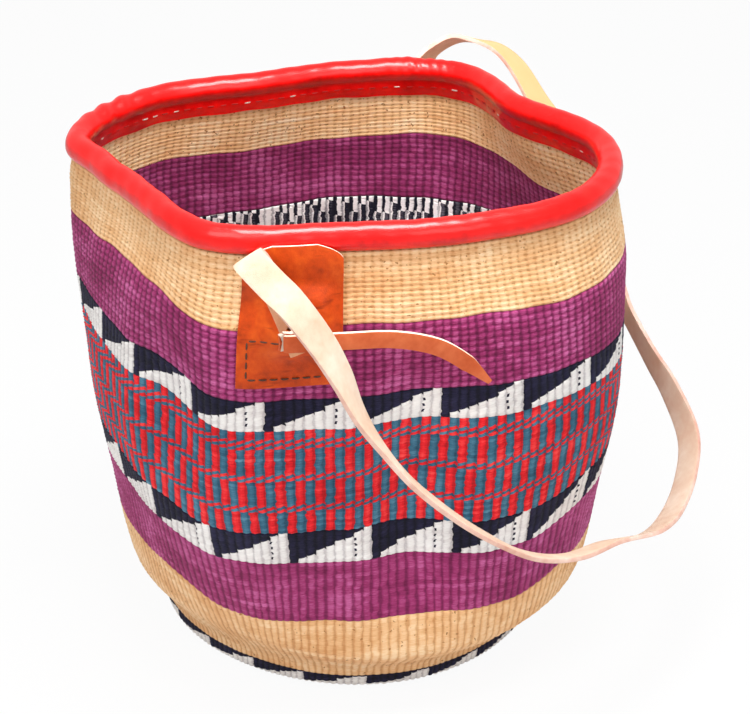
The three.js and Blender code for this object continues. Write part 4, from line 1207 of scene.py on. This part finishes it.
def strip_frames(stations, steps, checks_per_span=24, nudge=0.0001):
    """Places, sides, faces and widths at equal lengths along a strip."""
    places, faces, widths = (list(column) for column in zip(*stations))
    spans = len(stations) - 1
    checks = spans * checks_per_span
    line = np.array([curve_at(places, k / checks, False) for k in range(checks + 1)])
    lengths = np.concatenate([[0], np.cumsum(np.linalg.norm(np.diff(line, axis=0), axis=1))])
    result = []
    for target in np.linspace(0, lengths[-1], steps + 1):
        t = float(np.interp(target, lengths, np.linspace(0, 1, len(lengths))))
        ahead, behind = (curve_at(places, end, False) for end in (min(t + nudge, 1), max(t - nudge, 0)))
        along = unit(ahead - behind)
        face = curve_at(faces, t, True)
        face = unit(face - along * face.dot(along))
        width = np.interp(t * spans, range(spans + 1), widths)
        result.append((curve_at(places, t, False), np.cross(along, face), face, width))
    return [np.array(column) for column in zip(*result)], lengths[-1]


print("the strap's curve is ready")

# %% A strip of leather
columns_across = 8
strip_crown = 0.25


def strip(name, stations, steps, thickness, finishes, wave=0.0):
    """A strip with a slightly crowned face. Its edges wander by wave millimetres, as a hand-cut edge does."""
    (places, sides, faces, widths), length = strip_frames(stations, steps)
    sheet, column, row = flat_sheet(name, steps, columns_across)
    across = 1 - 2 * row / columns_across
    along = column / steps * length
    crown = strip_crown * (1 - across ** 2)
    place = places[column] + sides[column] * (across * widths[column] / 2)[:, None]
    place += faces[column] * (thickness / 2 - strip_crown + crown)[:, None]
    place += sides[column] * (wave * np.sin(along / 17) * np.sin(along / 41))[:, None]
    lay_uv(sheet, along / 10, across * widths[column] / 20)
    move_corners(sheet, place)
    body = sheet.modifiers.new("leather", "SOLIDIFY")
    body.thickness = (thickness - 0.15) * mm
    body.offset = -1
    body.material_offset = 1
    body.material_offset_rim = 2
    for finish in finishes:
        sheet.data.materials.append(finish)
    apply_modifiers(sheet)
    return sheet, length


print("strips are laid %d faces wide" % columns_across)

# %% The strap's route
strap_width, strap_thickness, strap_end = 16, 2.5, 10
lace_space = 7.6
strap_off = lace_space + strap_thickness / 2
front_pivot = holes["front"][0] + holes["front"][1] * strap_off
back_pivot = holes["back"][0] + holes["back"][1] * strap_off
hinge_line = unit(back_pivot - front_pivot)
half_width = mouth_width / 2
half_depth = mouth_depth / 2 - middle_y
# Each station's place, as shares of half the mouth's width and depth and of the rim's height, and its face.
route_shares = [
    ((-0.14, -1.36, 0.957), (0.42, -0.8, 0.4)), ((-0.047, -1.37, 0.894), (0.6, -0.66, 0.4)),
    ((0.02, -1.37, 0.831), (0.79, -0.47, 0.37)), ((0.078, -1.37, 0.763), (0.9, -0.17, 0.42)),
    ((0.15, -1.36, 0.7), (0.84, 0.1, 0.53)), ((0.25, -1.35, 0.63), (0.74, 0.22, 0.63)),
    ((0.4, -1.31, 0.55), (0.63, 0.28, 0.72)), ((0.54, -1.27, 0.49), (0.52, 0.35, 0.78)),
    ((0.69, -1.19, 0.43), (0.3, 0.42, 0.85)), ((0.85, -1.07, 0.39), (0, 0.47, 0.87)),
    ((1.01, -0.91, 0.37), (-0.14, 0.5, 0.84)), ((1.2, -0.71, 0.33), (-0.28, 0.5, 0.81)),
    ((1.31, -0.51, 0.32), (-0.4, 0.4, 0.82)), ((1.38, -0.33, 0.34), (-0.7, -0.1, 0.7)),
    ((1.41, -0.14, 0.38), (-0.8, -0.3, 0.5)), ((1.35, 0.03, 0.44), (-0.9, -0.4, 0.2)),
    ((1.29, 0.19, 0.47), (-0.9, -0.4, 0)), ((1.23, 0.31, 0.51), (-0.9, -0.4, -0.1)),
    ((1.18, 0.41, 0.55), (-0.85, -0.5, -0.1)), ((1.09, 0.54, 0.66), (-0.4, -0.9, 0.1)),
    ((0.95, 0.63, 0.84), (0.3, -0.8, 0.4)), ((0.82, 0.69, 0.93), (0.5, -0.55, 0.6)),
    ((0.72, 0.78, 1), (0.5, -0.3, 0.8)), ((0.64, 0.82, 1.03), (0.35, 0, 0.9)),
    ((0.55, 0.85, 1.04), (0.15, 0.3, 0.9)), ((0.47, 0.88, 1.04), (-0.05, 0.5, 0.8)),
    ((0.37, 0.89, 1.01), (-0.4, 0.6, 0.65)), ((0.29, 0.89, 0.96), (-0.4, 0.8, 0.45)),
]


def across_hinge(direction):
    direction = np.array(direction, float)
    return unit(direction - hinge_line * direction.dot(hinge_line))


root, fold, fall, back_root = (across_hinge(direction) for direction in (
    (-0.48, 0, 1), (-0.57, 0, 0.82), (0.6, 0, -0.8), (0, 0, 1)))
fold_height, fold_step, fold_drop, fold_right = 47, 7.5, 12, (4.8, 0, 0)
fold_face = unit(np.array((0.15, -0.94, 0.3)))
fold_top = front_pivot + root * fold_height - hinge_line * fold_step
fold_fall = fold_top + fall * fold_drop - hinge_line * fold_step + fold_right
strap_stations = [
    (front_pivot - root * strap_end - hinge_line * 4, hinge_line, 12),
    (front_pivot, hinge_line, 13),
    (front_pivot + root * 21 + (1.8, 0, 0), hinge_line, 12.5),
    (front_pivot + root * 42, hinge_line, 15),
    (fold_top, fold, strap_width),
    (fold_fall, fold_face, strap_width),
]
strap_stations += [(np.array(place) * (half_width, half_depth, rim_height), unit(np.array(face, float)),
                    strap_width) for place, face in route_shares]
strap_stations += [
    (back_pivot + back_root * 22, hinge_line, strap_width),
    (back_pivot + back_root * 11, hinge_line, strap_width),
    (back_pivot, hinge_line, strap_width),
    (back_pivot - back_root * strap_end + hinge_line * 4, hinge_line, strap_width),
]
print("the strap has %d stations" % len(strap_stations))

# %% The long strap
strap, strap_length = strip("long_strap", strap_stations, 460, strap_thickness,
                            [pale_leather, grain_leather, edge_leather], wave=0.35)
for pivot in (front_pivot, back_pivot):
    punch_hole(strap, pivot, hinge_line, lace_hole_radius)
soften_edge(strap, 0.3)
smooth(strap, 40)
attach(strap, "strap")
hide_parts("strap")
print("strap length: %.0f mm" % strap_length)
tell(strap)

# %% [markdown]
# ## The laces
#
# A narrow lace holds each end of the strap. It starts flat behind the patch, narrows to pass through the
# holes of patch and strap, curls back on itself, and its pointed tail runs free to one side. A knot could be
# sculpted, but the lace is a strip like the strap, so the same kind of stations carry it through its holes
# and round its curl.

# %% The laces' stations
lace_width, lace_neck, lace_thickness, loop_radius = 9, 5.6, 2.4, 3.4
stack_depth = pocket_depth + patch_thickness + lace_space + strap_thickness + 2.8
tail_reach, tail_drop, tail_in = 98, 34, 12
hidden_reaches, hidden_off = (15, 7.5), 1.5
# Through the holes: to the right and outwards as shares, and the face. Round the curl: the same, and a width.
through = [(0.25, 0.17, (-0.7, -0.7)), (0, 0.4, (-1, 0)), (0, 0.85, (-1, 0))]
loop = [(-0.5, 0.25, (-0.7, -0.7), 0.7), (-1.5, 0.6, (0.3, -1), 0.9), (-2.1, 1.3, (1, 0), 1),
        (-1.5, 2, (0.3, 1), 1), (0, 2.1, (0, 1), 1)]
loop_top = loop[-1][1]
# Along the tail: to the right, back towards the wall and down, each as a share, and a width.
tail = [(0.25, 0, 0, 1), (0.5, 0.3, 0.08, 1), (0.72, 0.6, 0.3, 1), (0.88, 0.85, 0.65, 0.95), (1, 1, 1, 0.3)]
print("each lace has %d stations" % (len(hidden_reaches) + len(through) + len(loop) + len(tail)))

# %% The two laces
up = np.array([0, 0, 1.0])
for view, turn_share, side in patch_views:
    hole, facing = holes[view]
    right = unit(np.cross((0, 0, 1), facing)) * side
    wall_face = hole - facing * (patch_thickness + pocket_depth)
    stations = []
    for reach in hidden_reaches:
        share_here = np.array([turn_share + side * reach / girth])
        place = wall_point(share_here, float(lace_hole_height), -(hidden_off + lace_thickness / 2))[0]
        normal = wall_normal(angle_at(share_here), np.array([float(lace_hole_height)]))[0]
        stations.append((place, -normal, lace_width))
    for aside, out, face in through:
        stations.append((wall_face + right * aside * loop_radius + facing * out * stack_depth,
                         right * face[0] + facing * face[1], lace_neck))
    for aside, out, face, width in loop:
        stations.append((wall_face + right * aside * loop_radius + facing * (stack_depth + out * loop_radius),
                         right * face[0] + facing * face[1], width * lace_width))
    for aside, back, drop, width in tail:
        out = stack_depth + loop_top * loop_radius - back * tail_in
        stations.append((wall_face + right * aside * tail_reach + facing * out - up * drop * tail_drop,
                         facing, width * lace_width))
    lace, lace_length = strip(view + "_lace_strip", stations, 150, lace_thickness,
                              [tan_leather, tan_leather, cut_leather])
    soften_edge(lace, 0.3)
    smooth(lace, 40)
    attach(lace, "basket")
    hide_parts(view + "_lace")
    print("lace length: %.0f mm" % lace_length)
    tell(lace)
bpy.data.objects.remove(stitch)
